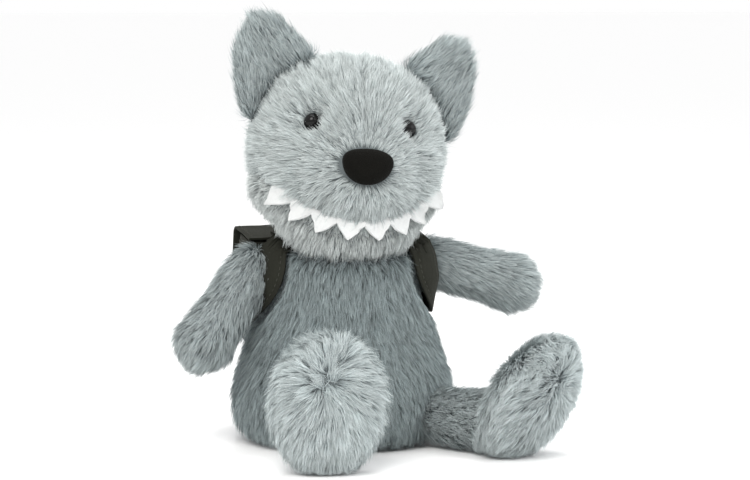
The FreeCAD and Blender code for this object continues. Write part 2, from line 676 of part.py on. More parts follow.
def strap(side, sign):
    """A slot-shaped band on the torso's side: over the shoulder, down the chest and back under the arm."""
    low = torso_loft(f"strap_under_{side}", "Sizes.strap_low * 1 mm")
    high = torso_loft(f"strap_over_{side}", "(Sizes.strap_low + Sizes.strap_thick) * 1 mm")
    layer = cut(f"strap_layer_{side}", high, low)
    body = body_at(f"strap_body_{side}")
    sketch = sketch_on(body, "YZ_Plane", f"strap_band_{side}")
    y, z, back = size(f"strap_{side}_y"), size("strap_z"), size("strap_back_y")
    outer, inner = size("strap_outer_r"), size("strap_inner_r")
    outline(
        sketch,
        [(back, z + outer), (y, z + outer), (y, z - outer), (back, z - outer),
         (back, z - inner), (y, z - inner), (y, z + inner), (back, z + inner)],
        {1: (y - outer, z), 5: (y - inner, z)},
    )
    band = pad(body, sketch, "80 mm", False, f"strap_pad_{side}")
    band.Reversed = sign < 0
    doc.recompute()
    near = box(f"strap_near_{side}", (-size("strap_side_x"), -90, 0), (size("strap_side_x"), 90, 150))
    head_room = ball(f"strap_head_room_{side}", "Sizes.neck_seat_r * 1 mm", head_frame.Base)
    lying = common(f"strap_lying_{side}", layer, body)
    part(f"strap_{side}", cut(f"strap_ribbon_{side}", lying, fuse(f"strap_clear_{side}", near, head_room)))


def side_tag():
    """A blank sewn-in tag standing out of the back, low down beside the tail."""
    turn = math.radians(size("tag_turn"))
    reach = size("torso_hip_r")
    plate = doc.addObject("Part::Box", "tag_plate")
    bind(plate, Length="Sizes.tag_out * 1 mm", Width="Sizes.tag_thick * 1 mm", Height="Sizes.tag_wide * 1 mm")
    at = V(reach * math.cos(turn), reach * math.sin(turn), size("tag_z"))
    plate.Placement = Place(at, Turn(Z_AXIS, size("tag_turn")))
    part("side_tag", plate)


torso()
neck()
head()
for side, sign in LIMB_SIDES.items():
    ear(side, sign)
    arm(side, sign)
    leg(side, sign)
    strap(side, sign)
tail()
pack_bag()
pack_flap()
patch("bag_loop_patch", size("pack_deep"))
patch("flap_hook_patch", size("pack_deep") + size("patch_thick") + size("patch_gap"))
haul_loop()
side_tag()
doc.recompute()

# ---------------------------------------------------------------- checks and files
bad = [o.Name for o in doc.Objects if "Invalid" in o.State or "Error" in o.State]
if bad:
    raise SystemExit(f"these objects failed to recompute: {bad}")
for name, thing in nodes.items():
    if thing.Shape.isNull() or not thing.Shape.isValid() or not thing.Shape.Solids:
        raise SystemExit(f"{name} has no valid solid")

os.makedirs("parts", exist_ok=True)
for name, thing in nodes.items():
    thing.Shape.exportStep(f"parts/{name}.step")
    print(f"{name}: {len(thing.Shape.Solids)} solid, {thing.Shape.Volume:.0f} mm3")
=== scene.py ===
import math
import bmesh
import bpy
import numpy as np
from mathutils import Euler, Matrix, Vector
from mathutils.bvhtree import BVHTree
from mathutils.kdtree import KDTree


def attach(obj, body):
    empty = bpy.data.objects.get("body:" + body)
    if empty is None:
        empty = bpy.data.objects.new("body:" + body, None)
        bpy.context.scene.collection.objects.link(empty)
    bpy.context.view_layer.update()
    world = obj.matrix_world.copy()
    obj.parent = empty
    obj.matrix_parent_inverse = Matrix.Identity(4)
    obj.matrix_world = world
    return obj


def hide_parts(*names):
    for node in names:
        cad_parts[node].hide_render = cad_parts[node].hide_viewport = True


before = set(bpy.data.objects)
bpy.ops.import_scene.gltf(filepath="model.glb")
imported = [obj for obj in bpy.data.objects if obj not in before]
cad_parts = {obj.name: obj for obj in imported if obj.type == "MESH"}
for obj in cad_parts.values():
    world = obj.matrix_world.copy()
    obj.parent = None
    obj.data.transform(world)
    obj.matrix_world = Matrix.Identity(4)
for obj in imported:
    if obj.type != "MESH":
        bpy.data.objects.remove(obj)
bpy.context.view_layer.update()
mm = 0.001

# ---- camera, lights and floor ----
studio = {
    "aim": (16.7, -6.1, 108.5), "turn": -20.0, "rise": 5.0, "distance": 1500.0, "lens": 133.0,
    "floorColour": (0.98, 0.98, 0.98), "floorWide": 80.0, "worldColour": (1.0, 1.0, 1.0), "worldStrength": 1.0,
    "lamps": [  # name, place, size, watts, colour
        ("keyLight", (-0.7, -1.1, 1.25), 0.9, 17.0, (1.0, 0.985, 0.96)),
        ("fillLight", (1.1, -0.9, 0.7), 1.0, 6.0, (0.94, 0.97, 1.0)),
        ("topLight", (0.1, 0.35, 1.4), 0.9, 9.0, (1.0, 1.0, 1.0)),
        ("catchLamp", (0.16, -0.75, 0.62), 0.045, 0.35, (1.0, 1.0, 1.0)),
    ],
}


def lookAt(thing, place, aim):
    thing.location = place
    thing.rotation_euler = (Vector(aim) - Vector(place)).to_track_quat("-Z", "Y").to_euler()


def makeStudio(s):
    scene = bpy.context.scene
    scene.view_settings.view_transform = "Standard"
    aim = Vector(s["aim"]) * mm
    turn, rise = math.radians(s["turn"]), math.radians(s["rise"])
    away = Vector((math.sin(turn) * math.cos(rise), -math.cos(turn) * math.cos(rise), math.sin(rise)))
    bpy.ops.object.camera_add()
    camera = bpy.context.object
    camera.data.lens = s["lens"]
    camera.data.clip_start = 0.05
    lookAt(camera, aim + away * s["distance"] * mm, aim)
    scene.camera = camera
    for name, place, size, watts, colour in s["lamps"]:
        bpy.ops.object.light_add(type="AREA")
        lamp = bpy.context.object
        lamp.name = name
        lamp.data.shape = "DISK"
        lamp.data.size, lamp.data.energy, lamp.data.color = size, watts, colour
        lookAt(lamp, place, aim)
    world = bpy.data.worlds.new("studioWorld")
    world.use_nodes = True
    back = world.node_tree.nodes["Background"]
    back.inputs["Color"].default_value = (*s["worldColour"], 1)
    back.inputs["Strength"].default_value = s["worldStrength"]
    scene.world = world
    bpy.ops.mesh.primitive_plane_add(size=s["floorWide"])
    floor = bpy.context.object
    floor.name = "studioFloor"
    paint = bpy.data.materials.new("paleFloor")
    paint.use_nodes = True
    p = paint.node_tree.nodes["Principled BSDF"]
    p.inputs["Base Color"].default_value = (*s["floorColour"], 1)
    p.inputs["Roughness"].default_value = 0.9
    p.inputs["Specular IOR Level"].default_value = 0.1
    floor.data.materials.append(paint)


makeStudio(studio)
print("studio ready")

# ---- shared shader pieces ----


def newGroup(name, inputs, outputs):
    group = bpy.data.node_groups.new(name, "ShaderNodeTree")
    for socketName, kind, value in inputs:
        socket = group.interface.new_socket(socketName, in_out="INPUT", socket_type=kind)
        if value is not None:
            socket.default_value = value
    for socketName, kind in outputs:
        group.interface.new_socket(socketName, in_out="OUTPUT", socket_type=kind)
    return group, group.nodes.new("NodeGroupInput"), group.nodes.new("NodeGroupOutput")


def mathNode(tree, kind, a, b=None, clamp=False):
    node = tree.nodes.new("ShaderNodeMath")
    node.operation, node.use_clamp = kind, clamp
    for socket, value in zip(node.inputs, (a, b)):
        if value is None:
            continue
        if isinstance(value, (int, float)):
            socket.default_value = value
        else:
            tree.links.new(value, socket)
    return node.outputs[0]


def mixNode(tree, factor, a, b, kind="MIX"):
    node = tree.nodes.new("ShaderNodeMix")
    node.data_type, node.blend_type = "RGBA", kind
    for socket, value in ((node.inputs[0], factor), (node.inputs[6], a), (node.inputs[7], b)):
        if isinstance(value, (int, float, tuple)):
            socket.default_value = value
        else:
            tree.links.new(value, socket)
    return node.outputs[2]


def noisePair(group, into, *sizes):
    # one noise on object coordinates for each named size input
    place = group.nodes.new("ShaderNodeTexCoord").outputs["Object"]
    found = []
    for size in sizes:
        node = group.nodes.new("ShaderNodeTexNoise")
        group.links.new(place, node.inputs["Vector"])
        group.links.new(into.outputs[size], node.inputs["Scale"])
        found.append(node.outputs["Fac"])
    return found


def scaledBy(tree, colour, gain):
    node = tree.nodes.new("ShaderNodeVectorMath")
    node.operation = "SCALE"
    tree.links.new(colour, node.inputs[0])
    tree.links.new(gain, node.inputs["Scale"])
    return node.outputs[0]


def makeDyeGroup():
    # uneven dye: a colour lightened and darkened in soft patches and fine flecks
    group, into, out = newGroup(
        "unevenDye",
        [("Colour", "NodeSocketColor", (0.5, 0.5, 0.5, 1)), ("Patch Size", "NodeSocketFloat", 40.0),
         ("Patch Depth", "NodeSocketFloat", 0.15), ("Fleck Size", "NodeSocketFloat", 900.0),
         ("Fleck Depth", "NodeSocketFloat", 0.1)],
        [("Colour", "NodeSocketColor"), ("Mask", "NodeSocketFloat")],
    )
    soft, fine = noisePair(group, into, "Patch Size", "Fleck Size")
    low, high = (
        mathNode(group, "MULTIPLY", mathNode(group, "SUBTRACT", noise, 0.5), into.outputs[depth])
        for noise, depth in ((soft, "Patch Depth"), (fine, "Fleck Depth"))
    )
    gain = mathNode(group, "ADD", mathNode(group, "ADD", low, high), 1.0)
    group.links.new(scaledBy(group, into.outputs["Colour"], gain), out.inputs["Colour"])
    group.links.new(soft, out.inputs["Mask"])
    return group


def makeFeltGroup():
    # pressed fibres: a fuzzy height for felt, suedette and cloth
    group, into, out = newGroup(
        "pressedFibres",
        [("Fibre Size", "NodeSocketFloat", 1600.0), ("Lump Size", "NodeSocketFloat", 220.0),
         ("Lump Share", "NodeSocketFloat", 0.4)],
        [("Height", "NodeSocketFloat")],
    )
    fine, lump = noisePair(group, into, "Fibre Size", "Lump Size")
    low = mathNode(group, "MULTIPLY", lump, into.outputs["Lump Share"])
    group.links.new(mathNode(group, "ADD", fine, low), out.inputs["Height"])
    return group


def makeWeaveGroup():
    # plain weave on object coordinates, for webbing and pouch cloth; its mask marks the hollows between threads, where
    # the cloth's colour is darkened as painted shade
    group, into, out = newGroup(
        "plainWeave",
        [("Threads", "NodeSocketFloat", 1800.0)],
        [("Height", "NodeSocketFloat"), ("Mask", "NodeSocketFloat")],
    )
    place = group.nodes.new("ShaderNodeTexCoord").outputs["Object"]
    waves = []
    for direction in ("X", "Z"):
        wave = group.nodes.new("ShaderNodeTexWave")
        wave.wave_type, wave.bands_direction = "BANDS", direction
        group.links.new(place, wave.inputs["Vector"])
        group.links.new(into.outputs["Threads"], wave.inputs["Scale"])
        wave.inputs["Distortion"].default_value = 0.4
        waves.append(wave.outputs["Fac"])
    height = mathNode(group, "MULTIPLY", waves[0], waves[1])
    group.links.new(height, out.inputs["Height"])
    group.links.new(height, out.inputs["Mask"])
    return group


dyeGroup, feltGroup, weaveGroup = makeDyeGroup(), makeFeltGroup(), makeWeaveGroup()


def placeGroup(tree, group, **values):
    node = tree.nodes.new("ShaderNodeGroup")
    node.node_tree = group
    for name, value in values.items():
        node.inputs[name.replace("_", " ")].default_value = value
    return node


def startMaterial(name, rough, sheen=0.0, specular=0.3, sheenTint=(1, 1, 1), coat=0.0):
    material = bpy.data.materials.new(name)
    material.use_nodes = True
    shader = material.node_tree.nodes["Principled BSDF"]
    shader.inputs["Roughness"].default_value = rough
    shader.inputs["Sheen Weight"].default_value = sheen
    shader.inputs["Sheen Roughness"].default_value = 0.4
    shader.inputs["Sheen Tint"].default_value = (*sheenTint, 1)
    shader.inputs["Specular IOR Level"].default_value = specular
    shader.inputs["Coat Weight"].default_value = coat
    return material, material.node_tree, shader


def bumpInto(tree, shader, height, strength, distance):
    bump = tree.nodes.new("ShaderNodeBump")
    bump.inputs["Strength"].default_value = strength
    bump.inputs["Distance"].default_value = distance
    tree.links.new(height, bump.inputs["Height"])
    tree.links.new(bump.outputs["Normal"], shader.inputs["Normal"])


def dyeValues(patchSize, patchDepth, fleckSize, fleckDepth):
    return {"Patch_Size": patchSize, "Patch_Depth": patchDepth, "Fleck_Size": fleckSize, "Fleck_Depth": fleckDepth}


def fibreMaterial(name, m):
    sheenTint = m.get("sheenTint", (1, 1, 1))
    material, tree, shader = startMaterial(name, m["rough"], m.get("sheen", 0.0), m.get("specular", 0.15), sheenTint)
    tint = placeGroup(tree, dyeGroup, Colour=(*m["colour"], 1), **dyeValues(*m["dye"]))
    colourOut = tint.outputs["Colour"]
    if "threads" in m:
        cloth = placeGroup(tree, weaveGroup, Threads=m["threads"])
        # painted shade: the colour is darkened in the hollows between the woven threads
        dark = mixNode(tree, 1.0, colourOut, (0.6, 0.6, 0.6, 1), "MULTIPLY")
        colourOut = mixNode(tree, cloth.outputs["Mask"], dark, colourOut)
    else:
        size, lump, share = m["felt"]
        cloth = placeGroup(tree, feltGroup, Fibre_Size=size, Lump_Size=lump, Lump_Share=share)
    bumpInto(tree, shader, cloth.outputs["Height"], *m["bump"])
    tree.links.new(colourOut, shader.inputs["Base Color"])
    return material


def pileMaterial(name, root, middle, tip):
    # each hair's own shade and the way along it are in the "pile" map; dye patches lie over both
    material, tree, shader = startMaterial(name, 0.72, 0.25, 0.25, (0.9, 0.97, 1.0))
    hair = tree.nodes.new("ShaderNodeUVMap")
    hair.uv_map = "pile"
    split = tree.nodes.new("ShaderNodeSeparateXYZ")
    tree.links.new(hair.outputs[0], split.inputs[0])
    ramp = tree.nodes.new("ShaderNodeValToRGB")
    ramp.color_ramp.elements[0].color = (*root, 1)
    ramp.color_ramp.elements[1].color = (*tip, 1)
    ramp.color_ramp.elements[1].position = 0.9
    ramp.color_ramp.elements.new(0.45).color = (*middle, 1)
    tree.links.new(split.outputs["Y"], ramp.inputs[0])
    shade = mathNode(tree, "ADD", mathNode(tree, "MULTIPLY", split.outputs["X"], 0.5), 0.75)
    tint = placeGroup(tree, dyeGroup, **dyeValues(45.0, 0.14, 260.0, 0.1))
    tree.links.new(scaledBy(tree, ramp.outputs[0], shade), tint.inputs["Colour"])
    tree.links.new(tint.outputs["Colour"], shader.inputs["Base Color"])
    return material


# one grey plush in copies of different lightness: the body's copy is darker as painted shade from the head above it,
# and the head's copy is lighter as painted light where the light falls
pileColours = {  # root, middle and tip of a hair
    "litHeadPile": ((0.19, 0.215, 0.215), (0.36, 0.40, 0.40), (0.53, 0.57, 0.565)),
    "chinPile": ((0.22, 0.24, 0.235), (0.38, 0.41, 0.405), (0.54, 0.57, 0.56)),
    "shadedBodyPile": ((0.09, 0.11, 0.115), (0.18, 0.22, 0.225), (0.31, 0.36, 0.365)),
    "limbPile": ((0.14, 0.165, 0.17), (0.28, 0.325, 0.33), (0.43, 0.475, 0.475)),
    "footPile": ((0.18, 0.21, 0.215), (0.36, 0.41, 0.415), (0.53, 0.58, 0.58)),
}
litHeadPile, chinPile, shadedBodyPile, limbPile, footPile = (
    pileMaterial(name, *shades) for name, shades in pileColours.items()
)

# dye: patch size and depth, fleck size and depth
# felt: fibre size, lump size and lump share; bump: strength and depth
fibres = {
    "pileBacking": {"colour": (0.17, 0.195, 0.20), "rough": 0.9, "dye": (60.0, 0.2, 1200.0, 0.3),
                    "threads": 1500.0, "bump": (0.4, 0.0003)},
    "whiteFelt": {"colour": (0.58, 0.59, 0.585), "rough": 0.88, "dye": (120.0, 0.05, 1500.0, 0.12),
                  "felt": (2200.0, 500.0, 0.5), "sheen": 0.2, "bump": (0.5, 0.0004)},
    "blackFelt": {"colour": (0.0045, 0.0043, 0.0035), "rough": 0.95, "dye": (200.0, 0.4, 1400.0, 0.9),
                  "felt": (1800.0, 420.0, 0.8), "sheen": 0.015, "sheenTint": (0.8, 0.8, 0.8), "specular": 0.08,
                  "bump": (0.9, 0.0006)},
    "charcoalSuedette": {"colour": (0.0165, 0.017, 0.0125), "rough": 0.9, "dye": (90.0, 0.5, 1300.0, 0.4),
                         "felt": (2400.0, 260.0, 0.7), "sheen": 0.05, "sheenTint": (0.75, 0.78, 0.7),
                         "bump": (0.5, 0.0004)},
    "sewingThread": {"colour": (0.045, 0.046, 0.038), "rough": 0.6, "dye": (300.0, 0.3, 2500.0, 0.5),
                     "felt": (4000.0, 900.0, 0.5), "bump": (0.3, 0.0001)},
    "darkWebbing": {"colour": (0.02, 0.0205, 0.017), "rough": 0.75, "dye": (120.0, 0.3, 1500.0, 0.4),
                    "threads": 500.0, "bump": (0.6, 0.0003)},
    "hookAndLoop": {"colour": (0.014, 0.014, 0.013), "rough": 0.85, "dye": (200.0, 0.4, 2200.0, 0.9),
                    "threads": 900.0, "bump": (0.9, 0.0005)},
    "whiteTape": {"colour": (0.82, 0.82, 0.80), "rough": 0.7, "dye": (150.0, 0.06, 1800.0, 0.08),
                  "threads": 1100.0, "bump": (0.35, 0.0002)},
}
backing, whiteFelt, blackFelt, suedette, thread, webbing, hookLoop, tape = (
    fibreMaterial(name, values) for name, values in fibres.items()
)


def makeBead():
    # moulded bead: deep black, with a trace of haze where it has been handled
    material, tree, shader = startMaterial("glossBead", 0.07, 0.0, 0.16, coat=0.12)
    tint = placeGroup(tree, dyeGroup, Colour=(0.003, 0.0029, 0.0027, 1), **dyeValues(400.0, 0.5, 1800.0, 0.3))
    haze = mathNode(tree, "ADD", mathNode(tree, "MULTIPLY", tint.outputs["Mask"], 0.08), 0.03)
    tree.links.new(haze, shader.inputs["Roughness"])
    tree.links.new(tint.outputs["Colour"], shader.inputs["Base Color"])
    return material


glossBead = makeBead()
print("materials ready")

# ---- small tools ----


def deselectAll():
    for thing in bpy.context.selected_objects:
        thing.select_set(False)


def makeActive(thing):
    deselectAll()
    thing.select_set(True)
    bpy.context.view_layer.objects.active = thing


def vectorsOf(items, what):
    flat = np.empty(len(items) * 3, np.float32)
    items.foreach_get(what, flat)
    return flat.reshape(-1, 3).astype(np.float64)


def coordsOf(mesh):
    return vectorsOf(mesh.vertices, "co")


def normalsOf(mesh):
    return vectorsOf(mesh.vertices, "normal")


def faceCentres(mesh):
    return vectorsOf(mesh.polygons, "center")


def setCoords(mesh, coords):
    mesh.vertices.foreach_set("co", np.asarray(coords, np.float32).ravel())
    mesh.update()


def unit(vectors):
    return vectors / np.maximum(np.linalg.norm(vectors, axis=-1, keepdims=True), 1e-12)


def smoothStep(low, high, value):
    t = np.clip((value - low) / (high - low), 0.0, 1.0)
    return t * t * (3.0 - 2.0 * t)


def applyModifier(thing, kind, **values):
    makeActive(thing)
    modifier = thing.modifiers.new(kind.title(), kind)
    for key, value in values.items():
        setattr(modifier, key, value)
    bpy.ops.object.modifier_apply(modifier=modifier.name)


def copyNodes(name, *nodes):
    # one new mesh from CAD nodes, merged into closed solids
    copies = []
    for node in nodes:
        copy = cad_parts[node].copy()
        copy.data = copy.data.copy()
        copy.parent = None
        copy.matrix_world = Matrix.Identity(4)
        bpy.context.scene.collection.objects.link(copy)
        copies.append(copy)
    makeActive(copies[0])
    for copy in copies:
        copy.select_set(True)
    if len(copies) > 1:
        bpy.ops.object.join()
    piece = bpy.context.view_layer.objects.active
    piece.name = name
    piece.data.name = name
    piece.data.materials.clear()
    bpy.ops.object.mode_set(mode="EDIT")
    bpy.ops.mesh.select_all(action="SELECT")
    bpy.ops.mesh.remove_doubles(threshold=0.00002)
    bpy.ops.object.mode_set(mode="OBJECT")
    return piece


def keepLargestPart(piece):
    # a cavity inside a form comes out of the remesh as a shell of its own: only the outer skin is kept
    work = bmesh.new()
    work.from_mesh(piece.data)
    left, parts = set(work.verts), []
    while left:
        seed = left.pop()
        part, edge = {seed}, [seed]
        while edge:
            vertex = edge.pop()
            for link in vertex.link_edges:
                other = link.other_vert(vertex)
                if other not in part:
                    part.add(other)
                    edge.append(other)
        left -= part
        parts.append(part)
    parts.sort(key=len)
    for part in parts[:-1]:
        bmesh.ops.delete(work, geom=list(part), context="VERTS")
    work.to_mesh(piece.data)
    work.free()


def puff(piece, pressure, cap, frames, pinned):
    # the filling presses the skin out between its seams; no point moves further than the cap
    start = coordsOf(piece.data)
    group = piece.vertex_groups.new(name="seam")
    for index in np.nonzero(pinned > 0)[0]:
        group.add([int(index)], float(pinned[index]), "REPLACE")
    cloth = piece.modifiers.new("filling", "CLOTH")
    cloth.settings.quality = 4
    cloth.settings.use_pressure = True
    cloth.settings.uniform_pressure_force = pressure
    cloth.settings.effector_weights.gravity = 0.0
    cloth.settings.vertex_group_mass = "seam"
    cloth.point_cache.frame_end = frames
    scene = bpy.context.scene
    for step in range(1, frames + 1):
        scene.frame_set(step)
    swollen = piece.evaluated_get(bpy.context.evaluated_depsgraph_get())
    moved = coordsOf(swollen.data) - start
    far = np.linalg.norm(moved, axis=1, keepdims=True)
    piece.modifiers.clear()
    piece.vertex_groups.clear()
    scene.frame_set(1)
    setCoords(piece.data, start + moved * np.minimum(1.0, cap / np.maximum(far, 1e-9)))


# ---- the animal's own directions ----
headPlace = Vector((0, -6, 157)) * mm
headTurn = Euler((0, math.radians(5), 0)).to_matrix()
headTurn = Matrix.Rotation(math.radians(-8), 3, "Z") @ headTurn
headAxes = np.array(headTurn)  # columns are the head's own axes


def inHead(points):
    return (points - np.array(headPlace)) @ headAxes


def outOfHead(vectors):
    return vectors @ headAxes.T


limbs = {  # root and direction of each limb, as on the frame
    "armLeft": ((49, 2, 96), (0.96, -0.08, -0.27)),
    "armRight": ((-49, 2, 96), (-0.62, -0.22, -0.76)),
    "legLeft": ((40.2, -43.2, 17), (0.50, -0.866, 0)),
    "legRight": ((-33.4, -48.5, 17), (-0.20, -0.98, 0)),
    "tail": ((0, 58.5, 24), (0, 0.978, -0.208)),
}
limbs = {name: (np.array(at) * mm, unit(np.array(way, float))) for name, (at, way) in limbs.items()}
mouth = {"radius": 60.2 * mm, "middle": 21.6 * mm, "back": 8 * mm}
eyes = [np.array((side * 26.5, -37.5, 16.3)) * mm for side in (1, -1)]
nose = np.array((0, -59.0, -5.0)) * mm


def mouthDepth(inside):
    # how far below the mouth seam a point of the head lies
    return np.hypot(inside[:, 0], inside[:, 2] - mouth["middle"]) - mouth["radius"]


# ---- pile ----
wander = np.random.default_rng(11).normal(size=(6, 3))
wanderPhase = np.random.default_rng(12).uniform(0, 6.28, (6, 3))


def drift(points, size):
    # a smooth wandering vector field, about one unit long
    out = np.zeros_like(points)
    for i in range(6):
        wave = points @ (wander[i] / np.linalg.norm(wander[i])) / size * (1.0 + 0.35 * i)
        out += np.sin(wave[:, None] + wanderPhase[i])
    return out / 2.4


def tangent(vectors, normals):
    return unit(vectors - normals * np.sum(vectors * normals, axis=1, keepdims=True))


def growPile(panel, pile, nap, trim, seed):
    # hairs as thin tapering blades that lean into the nap and gather into tufts
    mesh = panel.data
    mesh.calc_loop_triangles()
    corner = np.empty(len(mesh.loop_triangles) * 3, np.int32)
    mesh.loop_triangles.foreach_get("vertices", corner)
    corner = corner.reshape(-1, 3)
    co, no = coordsOf(mesh), normalsOf(mesh)
    a, b, c = (co[corner[:, i]] for i in range(3))
    area = np.linalg.norm(np.cross(b - a, c - a), axis=1) / 2
    draw = np.random.default_rng(seed)
    count = int(area.sum() * 1e6 * pile["perSquareMm"] * thin)
    pick = draw.choice(len(area), count, p=area / area.sum())
    u, v = draw.uniform(size=(2, count, 1))
    flip = (u + v) > 1
    u, v = np.where(flip, 1 - u, u), np.where(flip, 1 - v, v)
    root = a[pick] + (b[pick] - a[pick]) * u + (c[pick] - a[pick]) * v
    normal = unit(no[corner[pick, 0]] * (1 - u - v) + no[corner[pick, 1]] * u + no[corner[pick, 2]] * v)
    length = pile["length"] * mm * trim(root) * draw.normal(1.0, 0.13, count).clip(0.6, 1.35)
    keep = length > 0.5 * mm
    root, normal, length = root[keep], normal[keep], length[keep]
    count = len(root)

    tufts = max(8, int(count * pile["tuftsPerHair"]))
    tuftRoot = root[draw.choice(count, tufts, replace=False)]
    tree = KDTree(tufts)
    for i, place in enumerate(tuftRoot):
        tree.insert(place, i)
    tree.balance()
    tuft = np.fromiter((tree.find(place)[1] for place in root), np.int64, count)
    tuftSway = draw.normal(size=(tufts, 3)) * pile["tuftSway"]
    tuftLength = draw.normal(1.0, 0.12, tufts).clip(0.7, 1.3)
    tuftShade = draw.normal(0.0, 0.2, tufts)

    way = tangent(nap(root, normal) + drift(root, 9 * mm) * pile["drift"] + tuftSway[tuft], normal)
    way = tangent(way + draw.normal(size=(count, 3)) * pile["fray"], normal)
    length *= tuftLength[tuft]
    lift = pile["lift"] * draw.normal(1.0, 0.14, count).clip(0.6, 1.4)
    inward = (tuftRoot[tuft] - root) * pile["gather"]
    stages = np.array(pile["stages"])
    spine = []
    for s in stages:
        up = (lift * (1.75 * s - 0.75 * s * s) * length)[:, None] * normal
        along = ((0.42 * s + 0.42 * s * s) * length)[:, None] * way
        spine.append(root - normal * 0.3 * mm + up + along + inward * s ** 1.5)
    spine = np.stack(spine, 1)
    spine[:, :, 2] = np.maximum(spine[:, :, 2], 0.3 * mm)
    heading = unit(spine[:, -1] - spine[:, 0])
    across = unit(np.cross(heading, normal))
    roll = draw.normal(0.0, 0.5, count)[:, None]
    across = unit(across * np.cos(roll) + np.cross(heading, across) * np.sin(roll))
    half = np.array(pile["widths"]) * mm / 2 / thin ** 0.5
    sides = len(stages) - 1
    verts = np.empty((count, 2 * sides + 1, 3))
    for i in range(sides):
        verts[:, 2 * i] = spine[:, i] - across * half[i]
        verts[:, 2 * i + 1] = spine[:, i] + across * half[i]
    verts[:, -1] = spine[:, -1]
    offset = len(co) + np.arange(count)[:, None] * (2 * sides + 1)
    quads = np.concatenate([offset + np.array([2 * i, 2 * i + 1, 2 * i + 3, 2 * i + 2]) for i in range(sides - 1)])
    tips = offset + np.array([2 * sides - 2, 2 * sides - 1, 2 * sides])
    shade = (draw.normal(0.5, 0.2, count) + tuftShade[tuft]).clip(0, 1)
    addBlades(panel, verts.reshape(-1, 3), quads, tips, shade, stages)
    return count


def addBlades(panel, verts, quads, tips, shade, stages):
    mesh = panel.data
    base = len(mesh.vertices)
    baseFaces = [tuple(f.vertices) for f in mesh.polygons]
    oldLoops = sum(len(f) for f in baseFaces)
    co = np.concatenate([coordsOf(mesh), verts])
    loops = np.concatenate([np.fromiter((i for f in baseFaces for i in f), np.int32, oldLoops),
                            quads.ravel().astype(np.int32), tips.ravel().astype(np.int32)])
    sizes = np.concatenate([np.array([len(f) for f in baseFaces], np.int32),
                            np.full(len(quads), 4, np.int32), np.full(len(tips), 3, np.int32)])
    starts = np.concatenate([[0], np.cumsum(sizes)[:-1]]).astype(np.int32)
    grown = bpy.data.meshes.new(panel.name)
    grown.vertices.add(len(co))
    grown.loops.add(len(loops))
    grown.polygons.add(len(sizes))
    grown.vertices.foreach_set("co", co.astype(np.float32).ravel())
    grown.loops.foreach_set("vertex_index", loops)
    grown.polygons.foreach_set("loop_start", starts)
    grown.polygons.foreach_set("material_index", (np.arange(len(sizes)) >= len(baseFaces)).astype(np.int32))
    grown.update(calc_edges=True)
    perHair = 2 * (len(stages) - 1) + 1
    along = np.repeat(stages, 2)[:perHair]
    hair = np.maximum(loops - base, 0)
    uv = np.stack([np.where(loops < base, 0.5, shade[np.minimum(hair // perHair, len(shade) - 1)]),
                   np.where(loops < base, 0.05, along[hair % perHair])], 1)
    layer = grown.uv_layers.new(name="pile")
    layer.data.foreach_set("uv", uv.astype(np.float32).ravel())
    grown.polygons.foreach_set("use_smooth", np.ones(len(sizes), bool))
    for material in mesh.materials:
        grown.materials.append(material)
    panel.data = grown
    bpy.data.meshes.remove(mesh)


longPile = {
    "perSquareMm": 3.8, "length": 9.2, "tuftsPerHair": 0.06, "tuftSway": 0.12, "drift": 0.14, "fray": 0.13,
    "lift": 0.47, "gather": 0.42, "stages": (0.0, 0.52, 1.0), "widths": (0.34, 0.27),
}
thin = 1.0  # fewer, wider hairs while trying things out


# ---- stuffed forms ----


def makeCore(name, nodes, voxel, smooth, seams, puffing):
    core = copyNodes(name, *nodes)
    applyModifier(core, "REMESH", mode="VOXEL", voxel_size=voxel * mm, use_smooth_shade=True)
    keepLargestPart(core)
    if smooth:
        applyModifier(core, "SMOOTH", factor=0.5, iterations=smooth)
    setCoords(core.data, coordsOf(core.data) + normalsOf(core.data) * puffing["outset"] * mm)
    reach = seams(coordsOf(core.data))
    puff(core, puffing["pressure"], puffing["cap"] * mm, puffing["frames"], np.clip(1.0 - reach / (2.2 * mm), 0, 1))
    groove = np.exp(-(reach / (1.6 * mm)) ** 2)[:, None] * puffing["seamDepth"] * mm
    setCoords(core.data, coordsOf(core.data) - normalsOf(core.data) * groove)
    return core


def pushSkin(core, plumps, inOwn):
    # local fullness and drawn-in places, each a soft round push along the skin's normal
    co, no = coordsOf(core.data), normalsOf(core.data)
    own = inOwn(co)
    for place, reach, far in plumps:
        away = np.linalg.norm(own - np.array(place) * mm, axis=1)
        co += no * (far * mm * np.exp(-(away / (reach * mm)) ** 2))[:, None]
    setCoords(core.data, co)


def cutPanel(core, name, label, wanted):
    # the core's faces that belong to one panel, as a piece of its own
    panel = core.copy()
    panel.data = core.data.copy()
    panel.name = panel.data.name = name
    bpy.context.scene.collection.objects.link(panel)
    work = bmesh.new()
    work.from_mesh(panel.data)
    work.faces.ensure_lookup_table()
    drop = [face for face in work.faces if label[face.index] != wanted]
    bmesh.ops.delete(work, geom=drop, context="FACES")
    work.to_mesh(panel.data)
    work.free()
    return panel


softPuff = {"outset": 0.7, "pressure": 3.0, "cap": 1.6, "frames": 12, "seamDepth": 1.0}
slimPuff = {"outset": 0.6, "pressure": 3.0, "cap": 1.2, "frames": 12, "seamDepth": 0.8}


def plain(points):
    return np.ones(len(points))


def makeStuffed(core, panels, body, label, nap, trim, seed):
    # panels: name, the CAD nodes it stands for, slot, pile material, changes to the pile; in label order
    total = 0
    for i, (name, nodes, slot, pileMat, changes) in enumerate(panels):
        panel = cutPanel(core, name, label, i)
        panel.data.materials.clear()
        panel.data.materials.append(backing)
        panel.data.materials.append(pileMat)
        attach(panel, body)
        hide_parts(*nodes)
        total += growPile(panel, {**longPile, **changes}, nap, trim, seed + i)
    bpy.data.objects.remove(core)
    return total


def skinOf(core):
    faces = [tuple(f.vertices) for f in core.data.polygons]
    return BVHTree.FromPolygons([v.co.copy() for v in core.data.vertices], faces)


